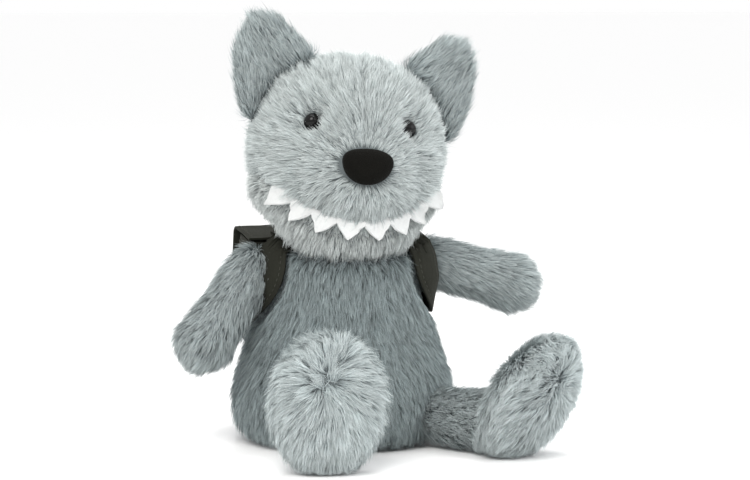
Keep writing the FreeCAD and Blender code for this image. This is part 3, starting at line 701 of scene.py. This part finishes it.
def castOnto(skin, starts, ways, lift=0.0, level=None):
    # where rays meet a skin, raised off it, and square to level if that is given; a miss takes the nearest place
    out = np.empty((len(starts), 3))
    for i, (start, way) in enumerate(zip(starts, ways)):
        place, normal = skin.ray_cast(Vector(start), Vector(way))[:2]
        if place is None:
            place, normal = skin.find_nearest(Vector(start) + Vector(way) * 0.1)[:2]
        if level is not None:
            normal = (normal - level * normal.dot(level)).normalized()
        out[i] = place + normal * (lift if np.isscalar(lift) else lift[i])
    return out


def shapeGrid(name, columns, rows, shape, closed=False):
    # a grid of faces put into shape by a function of (along, across), both 0 to 1
    deselectAll()
    bpy.ops.mesh.primitive_grid_add(x_subdivisions=columns, y_subdivisions=rows, size=2)
    piece = bpy.context.object
    piece.name = piece.data.name = name
    flat = coordsOf(piece.data)
    setCoords(piece.data, shape((flat[:, 0] + 1) / 2, (flat[:, 1] + 1) / 2))
    bpy.ops.object.mode_set(mode="EDIT")
    bpy.ops.mesh.select_all(action="SELECT")
    if closed:
        bpy.ops.mesh.remove_doubles(threshold=0.00003)
    bpy.ops.mesh.normals_make_consistent(inside=False)
    bpy.ops.object.mode_set(mode="OBJECT")
    bpy.ops.object.shade_smooth()
    return piece


def faceTowards(piece, way):
    # an open sheet's faces all look along the given direction
    work = bmesh.new()
    work.from_mesh(piece.data)
    if sum(face.normal.dot(Vector(way)) for face in work.faces) < 0:
        bmesh.ops.reverse_faces(work, faces=work.faces)
    work.to_mesh(piece.data)
    work.free()


def addBall(name, segments, rings, radius):
    deselectAll()
    bpy.ops.mesh.primitive_uv_sphere_add(segments=segments, ring_count=rings, radius=radius)
    ball = bpy.context.object
    ball.name = ball.data.name = name
    bpy.ops.object.shade_smooth()
    return ball


def thicken(piece, thick, offset=0.0, edge=0.25):
    applyModifier(piece, "SOLIDIFY", thickness=thick * mm, offset=offset, use_even_offset=False)
    if edge:
        applyModifier(piece, "BEVEL", width=edge * mm, segments=2, limit_method="ANGLE", angle_limit=math.radians(50))
    makeActive(piece)
    bpy.ops.object.shade_smooth_by_angle(angle=math.radians(50))


def finish(piece, material, body, nodes):
    piece.data.materials.clear()
    piece.data.materials.append(material)
    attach(piece, body)
    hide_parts(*nodes)
    return piece


def addStitches(piece, lines, material, long=2.1, gap=1.1, thick=0.42, lift=0.12):
    # each line is (points, normals): a row of short raised thread beads is laid along it
    verts, faces = [], []
    ring = np.array([(math.cos(a), math.sin(a)) for a in np.linspace(0, 2 * math.pi, 7)[:-1]])
    for points, normals in lines:
        steps = np.linalg.norm(np.diff(points, axis=0), axis=1)
        far = np.concatenate([[0], np.cumsum(steps)])
        for start in np.arange(gap * mm, far[-1] - long * mm, (long + gap) * mm):
            ends = np.array([start, start + long * mm])
            a, b = (np.array([np.interp(e, far, points[:, k]) for k in range(3)]) for e in ends)
            up = unit(np.array([np.interp(ends.mean(), far, normals[:, k]) for k in range(3)]))
            way = unit(b - a)
            side = np.cross(way, up)
            base = len(verts)
            for share, fat in ((0.0, 0.35), (0.2, 0.95), (0.8, 0.95), (1.0, 0.35)):
                sink = up * (lift if 0.1 < share < 0.9 else -0.1) * mm
                middle = a + (b - a) * share + sink
                for c, d in ring:
                    verts.append(middle + (side * c + up * d) * fat * thick / 2 * mm)
            for k in range(3):
                for m in range(6):
                    n = (m + 1) % 6
                    faces.append((base + k * 6 + m, base + k * 6 + n, base + k * 6 + 6 + n, base + k * 6 + 6 + m))
            faces.append(tuple(base + m for m in range(6))[::-1])
            faces.append(tuple(base + 18 + m for m in range(6)))
    work = bmesh.new()
    work.from_mesh(piece.data)
    slotIndex = len(piece.data.materials)
    piece.data.materials.append(material)
    made = [work.verts.new(v) for v in verts]
    fresh = []
    for face in faces:
        new = work.faces.new([made[i] for i in face])
        new.material_index, new.smooth = slotIndex, True
        fresh.append(new)
    bmesh.ops.recalc_face_normals(work, faces=fresh)
    work.to_mesh(piece.data)
    work.free()


# ---- head ----


def headSeams(points):
    inside = inHead(points)
    toMouth = np.where(inside[:, 1] < mouth["back"] + 1 * mm, np.abs(mouthDepth(inside)), 1.0)
    above = mouthDepth(inside) < 0
    toMiddle = np.where(above | (inside[:, 1] > mouth["back"]), np.abs(inside[:, 0]), 1.0)
    return np.minimum(toMouth, toMiddle)


def headNap(points, normals):
    inside = inHead(points)
    fromNose = unit(inside - nose)
    back = smoothStep(-0.015, 0.035, inside[:, 1])[:, None]
    crown = smoothStep(0.010, 0.045, inside[:, 2])[:, None] * (1 - back)
    side = np.sign(inside[:, :1])
    flow = fromNose * (1 - back) + np.array((0, 0.25, -1.0)) * back
    flow = flow + crown * np.concatenate([0.25 * side, 0 * side, 0.6 + 0 * side], 1)
    below = smoothStep(-0.016, -0.03, inside[:, 2])[:, None] * (1 - back)
    flow = flow + below * np.array((0, 0, -0.9))
    return outOfHead(flow)


def headTrim(points):
    inside = inHead(points)
    size = np.ones(len(points))
    for eye in eyes:
        away = np.linalg.norm(inside - eye, axis=1)
        size *= 0.06 + 0.94 * smoothStep(4.6 * mm, 13 * mm, away)
    toNose = np.hypot(inside[:, 0] / 1.3, inside[:, 2] - nose[2])
    front = inside[:, 1] < -0.04
    size *= np.where(front, 0.45 + 0.55 * smoothStep(8 * mm, 24 * mm, toNose), 1.0)
    depth = mouthDepth(inside)
    onMouth = (inside[:, 1] < -8 * mm) & (np.abs(inside[:, 0]) < 47 * mm)
    underTeeth = onMouth & (depth > -2.5 * mm) & (depth < 4.0 * mm)
    size = np.where(underTeeth, size * 0.3, size)
    below = onMouth & (depth >= 4.0 * mm) & (depth < 11 * mm)
    size = np.where(below, size * (0.5 + 0.5 * (depth - 4 * mm) / (7 * mm)), size)
    lip = onMouth & (depth > -7 * mm) & (depth <= -2.5 * mm)
    size = np.where(lip, size * 0.62, size)
    underNose = front & (np.hypot(inside[:, 0] / 13.5, (inside[:, 2] - nose[2]) / 9.2) < 1 * mm)
    return np.where(underNose, 0.0, size)


headPlumps = [  # place in the head's own directions, reach, and how far the filling stands out or is drawn in
    ((0, -32, -50), 24, 3.2), ((26, -40, 19), 8.5, -3.8), ((-26, -40, 19), 8.5, -3.8), ((0, -52, 10), 13, 1.8),
    ((37, -6, 42), 15, 3.2), ((-37, -6, 42), 15, 3.2), ((40, -22, -32), 18, 1.6), ((-40, -22, -32), 18, 1.6),
]


def makeHead():
    core = makeCore("headCore", ["head_stuffing"], 2.6, 6, headSeams, softPuff)
    pushSkin(core, headPlumps, inHead)
    inside = inHead(faceCentres(core.data))
    chin = (mouthDepth(inside) > 0) & (inside[:, 1] < mouth["back"]) & (inside[:, 2] < 0)
    label = np.where(chin, 2, np.where(inside[:, 0] > 0, 0, 1))
    skin = skinOf(core)
    # the head's panels take the lighter copy of the plush, painted light
    count = makeStuffed(core, [
        ("headPanelLeft", ["head_panel_left", "head_stuffing"], "grey_pile", litHeadPile, {}),
        ("headPanelRight", ["head_panel_right"], "grey_pile", litHeadPile, {}),
        ("chinPanel", ["chin_panel"], "chin_pile", chinPile, {"length": 9.0, "lift": 0.56}),
    ], "head", label, headNap, headTrim, 100)
    print("head done,", count, "hairs")
    return skin


headSkin = makeHead()


# ---- face: teeth, nose and eyes ----
teeth = {"count": 8, "pitch": 13.4, "shift": 3.0, "drop": 8.4, "band": 3.4, "above": 2.0, "thick": 1.2, "lift": 5.2,
         "across": 10, "down": 7}
noseShape = {"wide": 13.2, "high": 9.4, "deep": 6.8, "square": 2.3, "widerTop": 0.2}
bead = {"radius": 5.0, "flat": 0.9, "proud": 2.6}


def makeTeeth(t):
    # places evenly along the mouth seam, measured on the skin
    angles = np.linspace(-1.05, 1.05, 400)
    forward = outOfHead(np.array((0, 1.0, 0)))
    upright = Vector(outOfHead(np.array((0, 0, 1.0))))

    def onSkin(angle, reach, lift):
        local = np.stack([reach * np.sin(angle), np.full(len(angle), -0.12), mouth["middle"] - reach * np.cos(angle)], 1)
        starts = outOfHead(local) + np.array(headPlace)
        return castOnto(headSkin, starts, np.broadcast_to(forward, starts.shape), lift, upright)

    seam = onSkin(angles, np.full(400, mouth["radius"]), 0.0)
    far = np.concatenate([[0], np.cumsum(np.linalg.norm(np.diff(seam, axis=0), axis=1))])
    far -= np.interp(0.0, angles, far)
    half = t["count"] * t["pitch"] * mm / 2

    def shape(along, down):
        angle = np.interp((along * 2 - 1) * half + t["shift"] * mm, far, angles)
        tooth = (along * t["count"]) % 1.0
        last = along > 0.9999
        point = np.where(last, 0.0, 1 - np.abs(2 * tooth - 1))
        point = point - 0.05 * smoothStep(0.9, 1.0, point)
        low = 1 - down
        reach = mouth["radius"] - (t["above"] + t["band"]) * mm + low * (t["band"] + t["drop"] * point) * mm
        lift = (t["lift"] + 0.8 * low * point - 4.4 * down) * mm
        return onSkin(angle, reach, lift)

    piece = shapeGrid("teethStrip", t["count"] * t["across"], t["down"], shape)
    thicken(piece, t["thick"], 0.0, 0.3)
    finish(piece, whiteFelt, "head", ["teeth_strip"])
    print("teeth done")


def makeNose(n):
    piece = addBall("nose", 64, 40, 1)
    ball = coordsOf(piece.data)
    spread = np.hypot(ball[:, 0], ball[:, 2])
    cos, sin = ball[:, 0] / np.maximum(spread, 1e-9), ball[:, 2] / np.maximum(spread, 1e-9)
    square = 1 / (np.abs(cos) ** n["square"] + np.abs(sin) ** n["square"]) ** (1 / n["square"])
    shaped = np.stack([
        n["wide"] * spread * cos * square * (1 + n["widerTop"] * sin),
        n["deep"] * np.sign(ball[:, 1]) * np.abs(ball[:, 1]) ** 0.85,
        n["high"] * spread * sin * square,
    ], 1) * mm
    shaped += drift(shaped, 5 * mm) * 0.12 * mm
    setCoords(piece.data, outOfHead(shaped + nose) + np.array(headPlace))
    finish(piece, blackFelt, "head", ["nose_patch"])
    print("nose done")


def makeEyes(b):
    forward = outOfHead(np.array((0, 1.0, 0)))
    for place, word in zip(eyes, ("left", "right")):
        start = outOfHead(place * np.array((1, 0, 1)) + np.array((0, -0.12, 0))) + np.array(headPlace)
        at = castOnto(headSkin, [start], [forward], b["proud"] * mm)[0]
        out = unit(castOnto(headSkin, [start], [forward], 1.0)[0] - castOnto(headSkin, [start], [forward], 0.0)[0])
        piece = addBall("eye" + word.title(), 48, 32, b["radius"] * mm)
        ball = coordsOf(piece.data)
        ball -= out * (ball @ out)[:, None] * (1 - b["flat"])
        setCoords(piece.data, ball + at)
        finish(piece, glossBead, "head", [f"eye_{word}", f"eye_washer_{word}"])
    print("eyes done")


makeTeeth(teeth)
makeNose(noseShape)
makeEyes(bead)


# ---- torso ----


def torsoSeams(points):
    aboveSeat = points[:, 2] > 8 * mm
    toSeat = np.abs(points[:, 2] - 8 * mm)
    toSide = np.where(aboveSeat, np.abs(points[:, 1]), 1.0)
    return np.minimum(toSeat, toSide)


def torsoNap(points, normals):
    outward = unit(points * np.array((1, 1, 0)) + 1e-9)
    low = smoothStep(0.05, 0.01, points[:, 2])[:, None]
    return np.array((0, 0, -1.0)) + outward * 0.15 + low * outward * 0.5


strapPath = {"left": -3.0, "right": 8.0, "height": 94.0, "radius": 20.0, "half": 6.9, "thick": 1.5,
             "lift": 4.0, "armSide": 7.0, "shoulder": (8.0, 4.0), "headRoom": 59.0, "crown": 0.6,
             "backY": 40.0, "hem": 1.7}
torsoRadii = ((0, 42), (6, 52), (18, 57.5), (42, 54), (62, 48), (84, 43.5), (102, 40.6), (120, 32.5))


def strapAway(points, word):
    # distance from the middle line of a strap, seen from the side
    sign = 1 if word == "left" else -1
    y, z = points[:, 1] - strapPath[word] * mm, points[:, 2] - strapPath["height"] * mm
    ring = strapPath["radius"] * mm
    away = np.where(y < 0, np.abs(np.hypot(y, z) - ring), np.abs(np.abs(z) - ring))
    return np.where(points[:, 0] * sign > 6 * mm, away, 1.0)


def torsoTrim(points):
    size = 0.55 + 0.45 * smoothStep(0.0, 6 * mm, points[:, 2])
    for at, _ in limbs.values():
        size *= 0.55 + 0.45 * smoothStep(8 * mm, 13 * mm, np.linalg.norm(points - at, axis=1))
    for word in ("left", "right"):
        size *= 0.15 + 0.85 * smoothStep(6.5 * mm, 10.0 * mm, strapAway(points, word))
    overBack = np.maximum(np.abs(points[:, 0]) / 38, np.abs(points[:, 2] - 77 * mm) / 29) < 1 * mm
    underPack = (points[:, 1] > 30 * mm) & overBack
    return np.where(underPack, size * 0.3, size)


def makeTorso():
    core = makeCore("torsoCore", ["torso_stuffing"], 3.0, 4, torsoSeams, softPuff)
    centre = faceCentres(core.data)
    label = np.where(centre[:, 2] < 8 * mm, 2, np.where(centre[:, 1] < 0, 0, 1))
    skin = skinOf(core)
    # the torso's panels take the darker copy of the plush, painted shade
    count = makeStuffed(core, [
        ("torsoFrontPanel", ["torso_front_panel", "torso_stuffing", "pellet_pouch"], "grey_pile", shadedBodyPile, {}),
        ("torsoBackPanel", ["torso_back_panel"], "grey_pile", shadedBodyPile, {"perSquareMm": 2.4}),
        ("seatPanel", ["seat_panel"], "grey_pile", shadedBodyPile, {"length": 5.0, "lift": 0.3, "perSquareMm": 1.6}),
    ], "torso", label, torsoNap, torsoTrim, 200)
    print("torso done,", count, "hairs")
    return skin


torsoSkin = makeTorso()


# ---- shoulder straps ----


def makeStrap(word, s):
    sign = 1 if word == "left" else -1
    straight, turn = s["backY"] - s[word], math.pi * s["radius"]
    total = 2 * straight + turn
    heights, radii = np.array(torsoRadii, float).T

    def sideView(along, across):
        # (y, z) in millimetres of a place along the strap and across it
        far = along * total
        ring = s["radius"] + across
        angle = np.clip((far - straight) / s["radius"], 0, math.pi)
        y = s[word] - ring * np.sin(angle)
        y = np.where(far < straight, s["backY"] - far, y)
        y = np.where(far > straight + turn, s[word] + far - straight - turn, y)
        return y, s["height"] + ring * np.cos(angle)

    def onTorso(along, across, lift):
        y, z = sideView(along, across)
        around = np.arcsin(np.clip(y / np.interp(z, heights, radii), -0.97, 0.97))
        away = np.stack([sign * np.cos(around), np.sin(around), np.zeros_like(y)], 1)
        found = castOnto(torsoSkin, away * 0.09 + np.stack([0 * z, 0 * z, z * mm], 1), -away, lift)
        over = smoothStep(100.0, 114.0, z)  # the weight of the bag pulls the top out over the shoulder
        found[:, 0] += sign * s["shoulder"][0] * mm * over
        found[:, 2] += s["shoulder"][1] * mm * over
        fromHead = found - np.array(headPlace)
        far = np.linalg.norm(fromHead, axis=1)[:, None]
        return found + fromHead / far * np.maximum(s["headRoom"] * mm - far, 0)

    def armBulge(along):
        # the arm holds the strap off the chest on its own side, most in front
        return np.exp(-(((along * total - straight) / turn - 0.5) / 0.42) ** 4)

    def shape(along, side):
        across = (side * 2 - 1) * s["half"]
        crown = s["crown"] * (1 - (side * 2 - 1) ** 4) + s["armSide"] * (1 - side) * armBulge(along)
        hem = 0.35 * np.exp(-((np.abs(across) - s["half"] + s["hem"]) / 0.5) ** 2)
        return onTorso(along, across, (s["lift"] + crown - hem) * mm)

    piece = shapeGrid(f"strap{word.title()}", 120, 20, shape)
    faceTowards(piece, (sign, 0, 0))
    thicken(piece, s["thick"], 0.0, 0.3)
    lines = []
    for side in (1, -1):
        along = np.linspace(0, 1, 240)
        across = np.full(240, side * (s["half"] - s["hem"]))
        off = s["armSide"] / 2 * armBulge(along) * (1 - side + side * s["hem"] / s["half"])
        low, high = (onTorso(along, across, (s["lift"] + off + h) * mm) for h in (0.95, 1.95))
        lines.append((low, unit(high - low)))
    finish(piece, suedette, "torso", [f"strap_{word}"])
    addStitches(piece, lines, thread)
    print("strap", word, "done")


for word in ("left", "right"):
    makeStrap(word, strapPath)


# ---- ears ----
earPlane = {"y": -12 * mm, "turn": 14.0, "leanLeft": 5.0}


def earAxes(side):
    turn = headTurn @ Matrix.Rotation(math.radians(side * earPlane["turn"]), 3, "Z")
    if side > 0:
        turn = turn @ Matrix.Rotation(math.radians(earPlane["leanLeft"]), 3, "Y")
    turn = np.array(turn)
    return outOfHead(np.array((0, earPlane["y"], 0))) + np.array(headPlace), turn


def makeEar(side, word):
    base, axes = earAxes(side)

    def inEar(points):
        return (points - base) @ axes

    def seams(points):
        return np.abs(inEar(points)[:, 1])

    def nap(points, normals):
        local = inEar(points)
        tip = np.array((side * 62.0, 0, 72.0)) * mm
        flow = unit(tip - local) + np.array((side * 0.15, 0, 0.5))
        return flow @ axes.T

    core = makeCore("earCore", [f"ear_front_{word}", f"ear_back_{word}"], 1.6, 5, seams,
                    {**slimPuff, "outset": -0.2, "cap": 1.5})
    local = inEar(coordsOf(core.data))
    heart = np.array((side * 46.0, 46.0)) * mm  # middle of the hollow
    dish = np.exp(-((local[:, 0] - heart[0]) ** 2 + (local[:, 2] - heart[1]) ** 2) / (13 * mm) ** 2)
    local[:, 1] += np.where(local[:, 1] < 1 * mm, dish * 2.6 * mm, 0.0)
    setCoords(core.data, local @ axes.T + base)
    label = np.where(inEar(faceCentres(core.data))[:, 1] < 0, 0, 1)
    name = word.title()
    count = makeStuffed(core, [
        (f"earFront{name}", [f"ear_front_{word}"], "grey_pile", limbPile, {"length": 8.6}),
        (f"earBack{name}", [f"ear_back_{word}"], "grey_pile", limbPile, {}),
    ], f"ear_{word}", label, nap, plain, 300 + side)
    print("ear", word, "done,", count, "hairs")


makeEar(1, "left")
makeEar(-1, "right")


# ---- arms and tail ----


def rootTrim(root, way):
    return lambda points: 0.9 + 0.1 * smoothStep(-6 * mm, 10 * mm, (points - root) @ way)


def makeTube(key, node, body, panels, split, seed):
    root, way = limbs[key]

    def nap(points, normals):
        return way + np.array((0, 0, -0.25)) * (0 if key == "tail" else 1)

    fat = {**slimPuff, "outset": 1.4}
    core = makeCore("limbCore", [node], 2.2, 4, lambda points: np.abs((points - root) @ split), fat)
    pushSkin(core, [(way * 7, 16, 0.5 if key == "tail" else 2.6)], lambda points: points - root)
    label = np.where((faceCentres(core.data) - root) @ split > 0, 0, 1)
    count = makeStuffed(core, panels, body, label, nap, rootTrim(root, way), seed)
    print(key, "done,", count, "hairs")


def upOf(way):
    across = np.cross((0, 0, 1.0), way)
    return unit(np.cross(way, across))


for word in ("left", "right"):
    name = word.title()
    makeTube(f"arm{name}", f"arm_{word}_stuffing", f"arm_{word}", [
        (f"armUpper{name}", [f"arm_{word}_upper_panel", f"arm_{word}_stuffing"], "grey_pile", limbPile, {}),
        (f"armLower{name}", [f"arm_{word}_lower_panel"], "grey_pile", limbPile, {}),
    ], upOf(limbs[f"arm{name}"][1]), 400 + len(word))
makeTube("tail", "tail_stuffing", "tail", [
    ("tailPanelLeft", ["tail_left_panel", "tail_stuffing"], "grey_pile", limbPile, {}),
    ("tailPanelRight", ["tail_right_panel"], "grey_pile", limbPile, {}),
], np.array((1.0, 0, 0)), 450)


# ---- legs ----
foot = {"along": 61 * mm, "soleDepth": 4 * mm,
        "left": {"height": 32.0 * mm, "lean": 30.0}, "right": {"height": 35.4 * mm, "lean": 8.0}}


def makeLeg(word):
    name = word.title()
    root, way = limbs[f"leg{name}"]
    lean = math.radians(foot[word]["lean"])
    middle = root + way * foot["along"]
    middle[2] = foot[word]["height"]
    face = way * math.cos(lean) - np.array((0, 0, 1.0)) * math.sin(lean)  # out of the sole
    rise = way * math.sin(lean) + np.array((0, 0, 1.0)) * math.cos(lean)

    def seams(points):
        return np.abs((points - middle) @ face - foot["soleDepth"])

    def nap(points, normals):
        local = points - middle
        across = np.cross(face, rise)
        whorl = np.stack([local @ across, local @ rise - 12 * mm], 1)
        spread = (whorl[:, :1] * across + whorl[:, 1:] * rise) / (20 * mm) + np.array((0, 0, -0.35))
        onFoot = smoothStep(-0.02, -0.004, local @ face)[:, None]
        return way * (1 - onFoot) + (spread + face * 0.1) * onFoot

    core = makeCore("legCore", [f"leg_{word}_stuffing"], 2.4, 4, seams, {**slimPuff, "outset": 1.6})
    pushSkin(core, [(way * 10, 17, 2.4), (way * 36, 16, 1.8)], lambda points: points - root)
    label = np.where((faceCentres(core.data) - middle) @ face > foot["soleDepth"], 1, 0)
    count = makeStuffed(core, [
        (f"legSleeve{name}", [f"leg_{word}_sleeve", f"leg_{word}_stuffing"], "grey_pile", footPile, {}),
        (f"legSole{name}", [f"leg_{word}_sole"], "grey_pile", footPile, {"length": 8.0}),
    ], f"leg_{word}", label, nap, rootTrim(root, way), 500 + len(word))
    print("leg", word, "done,", count, "hairs")


makeLeg("left")
makeLeg("right")


# ---- gussets at the joints ----
gussets = [  # piece, CAD node, body
    ("neckCollar", "neck_plug", "neck"), ("tailGusset", "tail_gusset", "tail_root"),
    ("armGussetLeft", "arm_left_gusset", "arm_left_root"), ("armGussetRight", "arm_right_gusset", "arm_right_root"),
    ("legGussetLeft", "leg_left_gusset", "leg_left_root"), ("legGussetRight", "leg_right_gusset", "leg_right_root"),
]
for seed, (name, node, body) in enumerate(gussets):
    piece = copyNodes(name, node)
    applyModifier(piece, "REMESH", mode="VOXEL", voxel_size=0.5 * mm, use_smooth_shade=True)
    piece.data.materials.append(backing)
    # the gussets take the body's darker copy of the plush, painted shade
    piece.data.materials.append(shadedBodyPile)
    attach(piece, body)
    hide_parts(node)
    down = np.array((0, 0, -1.0))
    growPile(piece, {**longPile, "length": 4.0, "perSquareMm": 1.2, "lift": 0.3},
             lambda points, normals: np.broadcast_to(down, points.shape), plain, 600 + seed)
print("gussets done")


# ---- rucksack ----
packPlace = np.array((0, 54, 46)) * mm
packTurn = np.array(Matrix.Rotation(math.radians(10.3), 3, "X"))
bag = {"half": 40.0, "deep": 27.0, "high": 59.6, "corner": 8.0, "backCorner": 2.5, "base": 6.0,
       "thick": 1.5, "pullIn": 1.7, "sag": 1.2, "crease": 0.55}
lid = {"half": 39.0, "under": 61.3, "front": 29.45, "bend": 4.0, "drop": 34.5, "corner": 9.0, "thick": 1.3, "hem": 2.2}
haul = {"half": 8.75, "band": 2.25, "high": 14.6, "y": -1.4, "thick": 1.2}


def outOfPack(points):
    return np.asarray(points) * mm @ packTurn.T + packPlace


def planOutline(b, count):
    # the bag's outline from above, evenly spaced: sharp at the back, round at the front
    points = []
    for x, y, r, start in ((b["half"], 0, b["backCorner"], -90), (b["half"], b["deep"], b["corner"], 0),
                           (-b["half"], b["deep"], b["corner"], 90), (-b["half"], 0, b["backCorner"], 180)):
        cx, cy = x - math.copysign(r, x), (r if y == 0 else y - r)
        for a in np.radians(np.linspace(start, start + 90, 12)):
            points.append((cx + r * math.cos(a), cy + r * math.sin(a)))
    points = np.array(points + points[:1])
    far = np.concatenate([[0], np.cumsum(np.linalg.norm(np.diff(points, axis=0), axis=1))])
    even = np.linspace(0, far[-1], count)
    return np.stack([np.interp(even, far, points[:, k]) for k in (0, 1)], 1)


def makeBag(b):
    ring = planOutline(b, 400)
    middle = np.array((0, b["deep"] / 2))
    profile = [(0.0, 0.0), (0.45, 0.0), (0.86, 0.3)]
    for a in np.linspace(0.2, 1.5, 6):
        profile.append((1 - 0.06 * (1 - math.sin(a)), b["base"] * (1 - math.cos(a)) * 0.9 + 0.6))
    profile += [(1.0, h) for h in np.linspace(b["base"] + 1, b["high"], 26)]
    profile = np.array(profile)
    steps = np.linspace(0, 1, len(profile))

    def shape(around, up):
        flat = np.stack([np.interp(around, np.linspace(0, 1, 400), ring[:, k]) for k in (0, 1)], 1)
        scale, height = (np.interp(up, steps, profile[:, k]) for k in (0, 1))
        swell = 1 - ((height / b["high"]) * 2 - 1) ** 2
        pull = b["pullIn"] * (1 - np.clip(swell, 0, 1)) + 0.4
        inward = unit(middle - flat)
        flat = middle + (flat - middle) * scale[:, None] + inward * pull[:, None] * (flat[:, 1:] > 1) * scale[:, None]
        edge = np.abs(flat[:, 0]) / b["half"]
        height = height - b["sag"] * smoothStep(30, 60, height) * (flat[:, 1] > 4) * (1 - edge ** 2)
        local = np.column_stack([flat, height])
        crease = drift(local * mm, 11 * mm) * b["crease"] * (0.25 + 0.75 * smoothStep(4, 22, height))[:, None]
        crease[:, 1] = np.where(local[:, 1] > 2, -np.abs(crease[:, 1]), 0)
        crease[:, 2] *= 0.3
        return outOfPack(local + crease * np.array((0.7, 1, 1)))

    piece = shapeGrid("packBag", 150, len(profile) - 1, shape, closed=True)
    thicken(piece, b["thick"], -1.0, 0.3)
    finish(piece, suedette, "torso", ["pack_bag"])
    lines = []
    for height in (b["high"] - 4.2, b["base"] + 1.5):
        across = np.linspace(0.0, 1.0, 260)
        up = np.interp(height, profile[8:, 1], steps[8:])
        row = shape(across, np.full(260, up))
        outward = unit(row - outOfPack(np.array([(0, b["deep"] / 2, height)])))
        lines.append((row + outward * 0.05 * mm, outward))
    addStitches(piece, lines, thread)
    print("bag done")


def lidPath(l, far):
    # (y, z) and outward direction along the lid, from its hinge over the bag and down the front
    flat = l["front"] - l["bend"]
    turn = l["bend"] * math.pi / 2
    angle = np.clip((far - flat) / l["bend"], 0, math.pi / 2)
    y = np.where(far < flat, far, flat + l["bend"] * np.sin(angle))
    z = l["under"] - l["bend"] * (1 - np.cos(angle)) - np.maximum(far - flat - turn, 0)
    return y, z, np.stack([0 * y, np.sin(angle), np.cos(angle)], 1)


def makeLid(l):
    long = l["front"] - l["bend"] + l["bend"] * math.pi / 2 + l["drop"] - l["bend"]

    def place(x, far):
        y, z, out = lidPath(l, far)
        left = long - far
        r = l["corner"]
        rounded = l["half"] - r + np.sqrt(np.maximum(r ** 2 - (r - left) ** 2, 0))
        half = np.where(left < r, rounded, l["half"])
        x = x * half
        pad = 0.5 * (1 - (x / l["half"]) ** 2) * np.sin(np.clip(far / long, 0, 1) * math.pi)
        local = np.column_stack([x, y, z]) + out * pad[:, None]
        return local + out * (np.abs(drift(local * mm, 13 * mm)[:, :1]) * 0.45), out

    piece = shapeGrid("packFlap", 80, 66, lambda u, v: outOfPack(place(u * 2 - 1, 0.4 + v * (long - 0.4))[0]))
    faceTowards(piece, (0, 1, 1))
    thicken(piece, l["thick"], 0.0, 0.35)
    finish(piece, suedette, "flap", ["pack_flap"])
    inset = l["hem"] / l["half"]
    down = np.linspace(2, long - l["hem"], 150)
    rows = [(np.full(150, side * (1 - inset)), down) for side in (1, -1)]
    rows.append((np.linspace(-0.75, 0.75, 150), np.full(150, long - l["hem"])))
    lines = []
    for x, far in rows:
        local, out = place(x, far)
        lines.append((outOfPack(local + out * l["thick"] / 2), out @ packTurn.T))
    addStitches(piece, lines, thread)
    print("flap done")


def makeHaulLoop(h):
    rise = h["high"] - h["half"]
    total = 2 * rise + math.pi * h["half"]

    def shape(along, across):
        far, off = along * total, (across * 2 - 1) * h["band"]
        angle = np.clip((far - rise) / h["half"], 0, math.pi)
        x = -(h["half"] + off) * np.cos(angle)
        z = (h["half"] + off) * np.sin(angle) + np.minimum(far, rise)
        z = z - np.maximum(far - rise - math.pi * h["half"], 0)
        return outOfPack(np.column_stack([x, np.full(len(x), h["y"]) + 0.25 * np.cos(off), z + 60]))

    piece = shapeGrid("haulLoop", 60, 6, shape)
    thicken(piece, h["thick"], 0.0, 0.3)
    finish(piece, webbing, "torso", ["haul_loop"])
    print("haul loop done")


def makePatch(name, node, body, y):
    def shape(u, v):
        x, z = u * 2 - 1, v * 2 - 1
        square = np.maximum(np.abs(x), np.abs(z)) / np.maximum((np.abs(x) ** 8 + np.abs(z) ** 8) ** 0.125, 1e-9)
        return outOfPack(np.column_stack([x * square * 11.0, np.full(len(x), y), z * square * 4.5 + 31.0]))

    piece = shapeGrid(name, 24, 12, shape)
    thicken(piece, 0.7, 0.0, 0.15)
    finish(piece, hookLoop, body, [node])


def makeTag():
    around = math.radians(58)
    out = np.array((math.cos(around), math.sin(around), 0))
    side = np.array((-math.sin(around), math.cos(around), 0))
    root = out * 57.5 * mm + np.array((0, 0, 14 * mm))

    def shape(u, v):
        curl = 0.9 * np.sin(u * math.pi * 1.2) * (0.4 + 0.6 * v)
        aside = side * (curl[:, None] * mm + 0.3 * mm)
        return root + out * (u[:, None] * 15.6 * mm) + aside + np.array((0, 0, 12 * mm)) * v[:, None]

    piece = shapeGrid("sideTag", 20, 12, shape)
    thicken(piece, 0.6, 0.0, 0.12)
    finish(piece, tape, "torso", ["side_tag"])
    print("tag done")


makeBag(bag)
makeLid(lid)
makeHaulLoop(haul)
makePatch("bagLoopPatch", "bag_loop_patch", "torso", 27.35)
makePatch("flapHookPatch", "flap_hook_patch", "flap", 28.45)
makeTag()
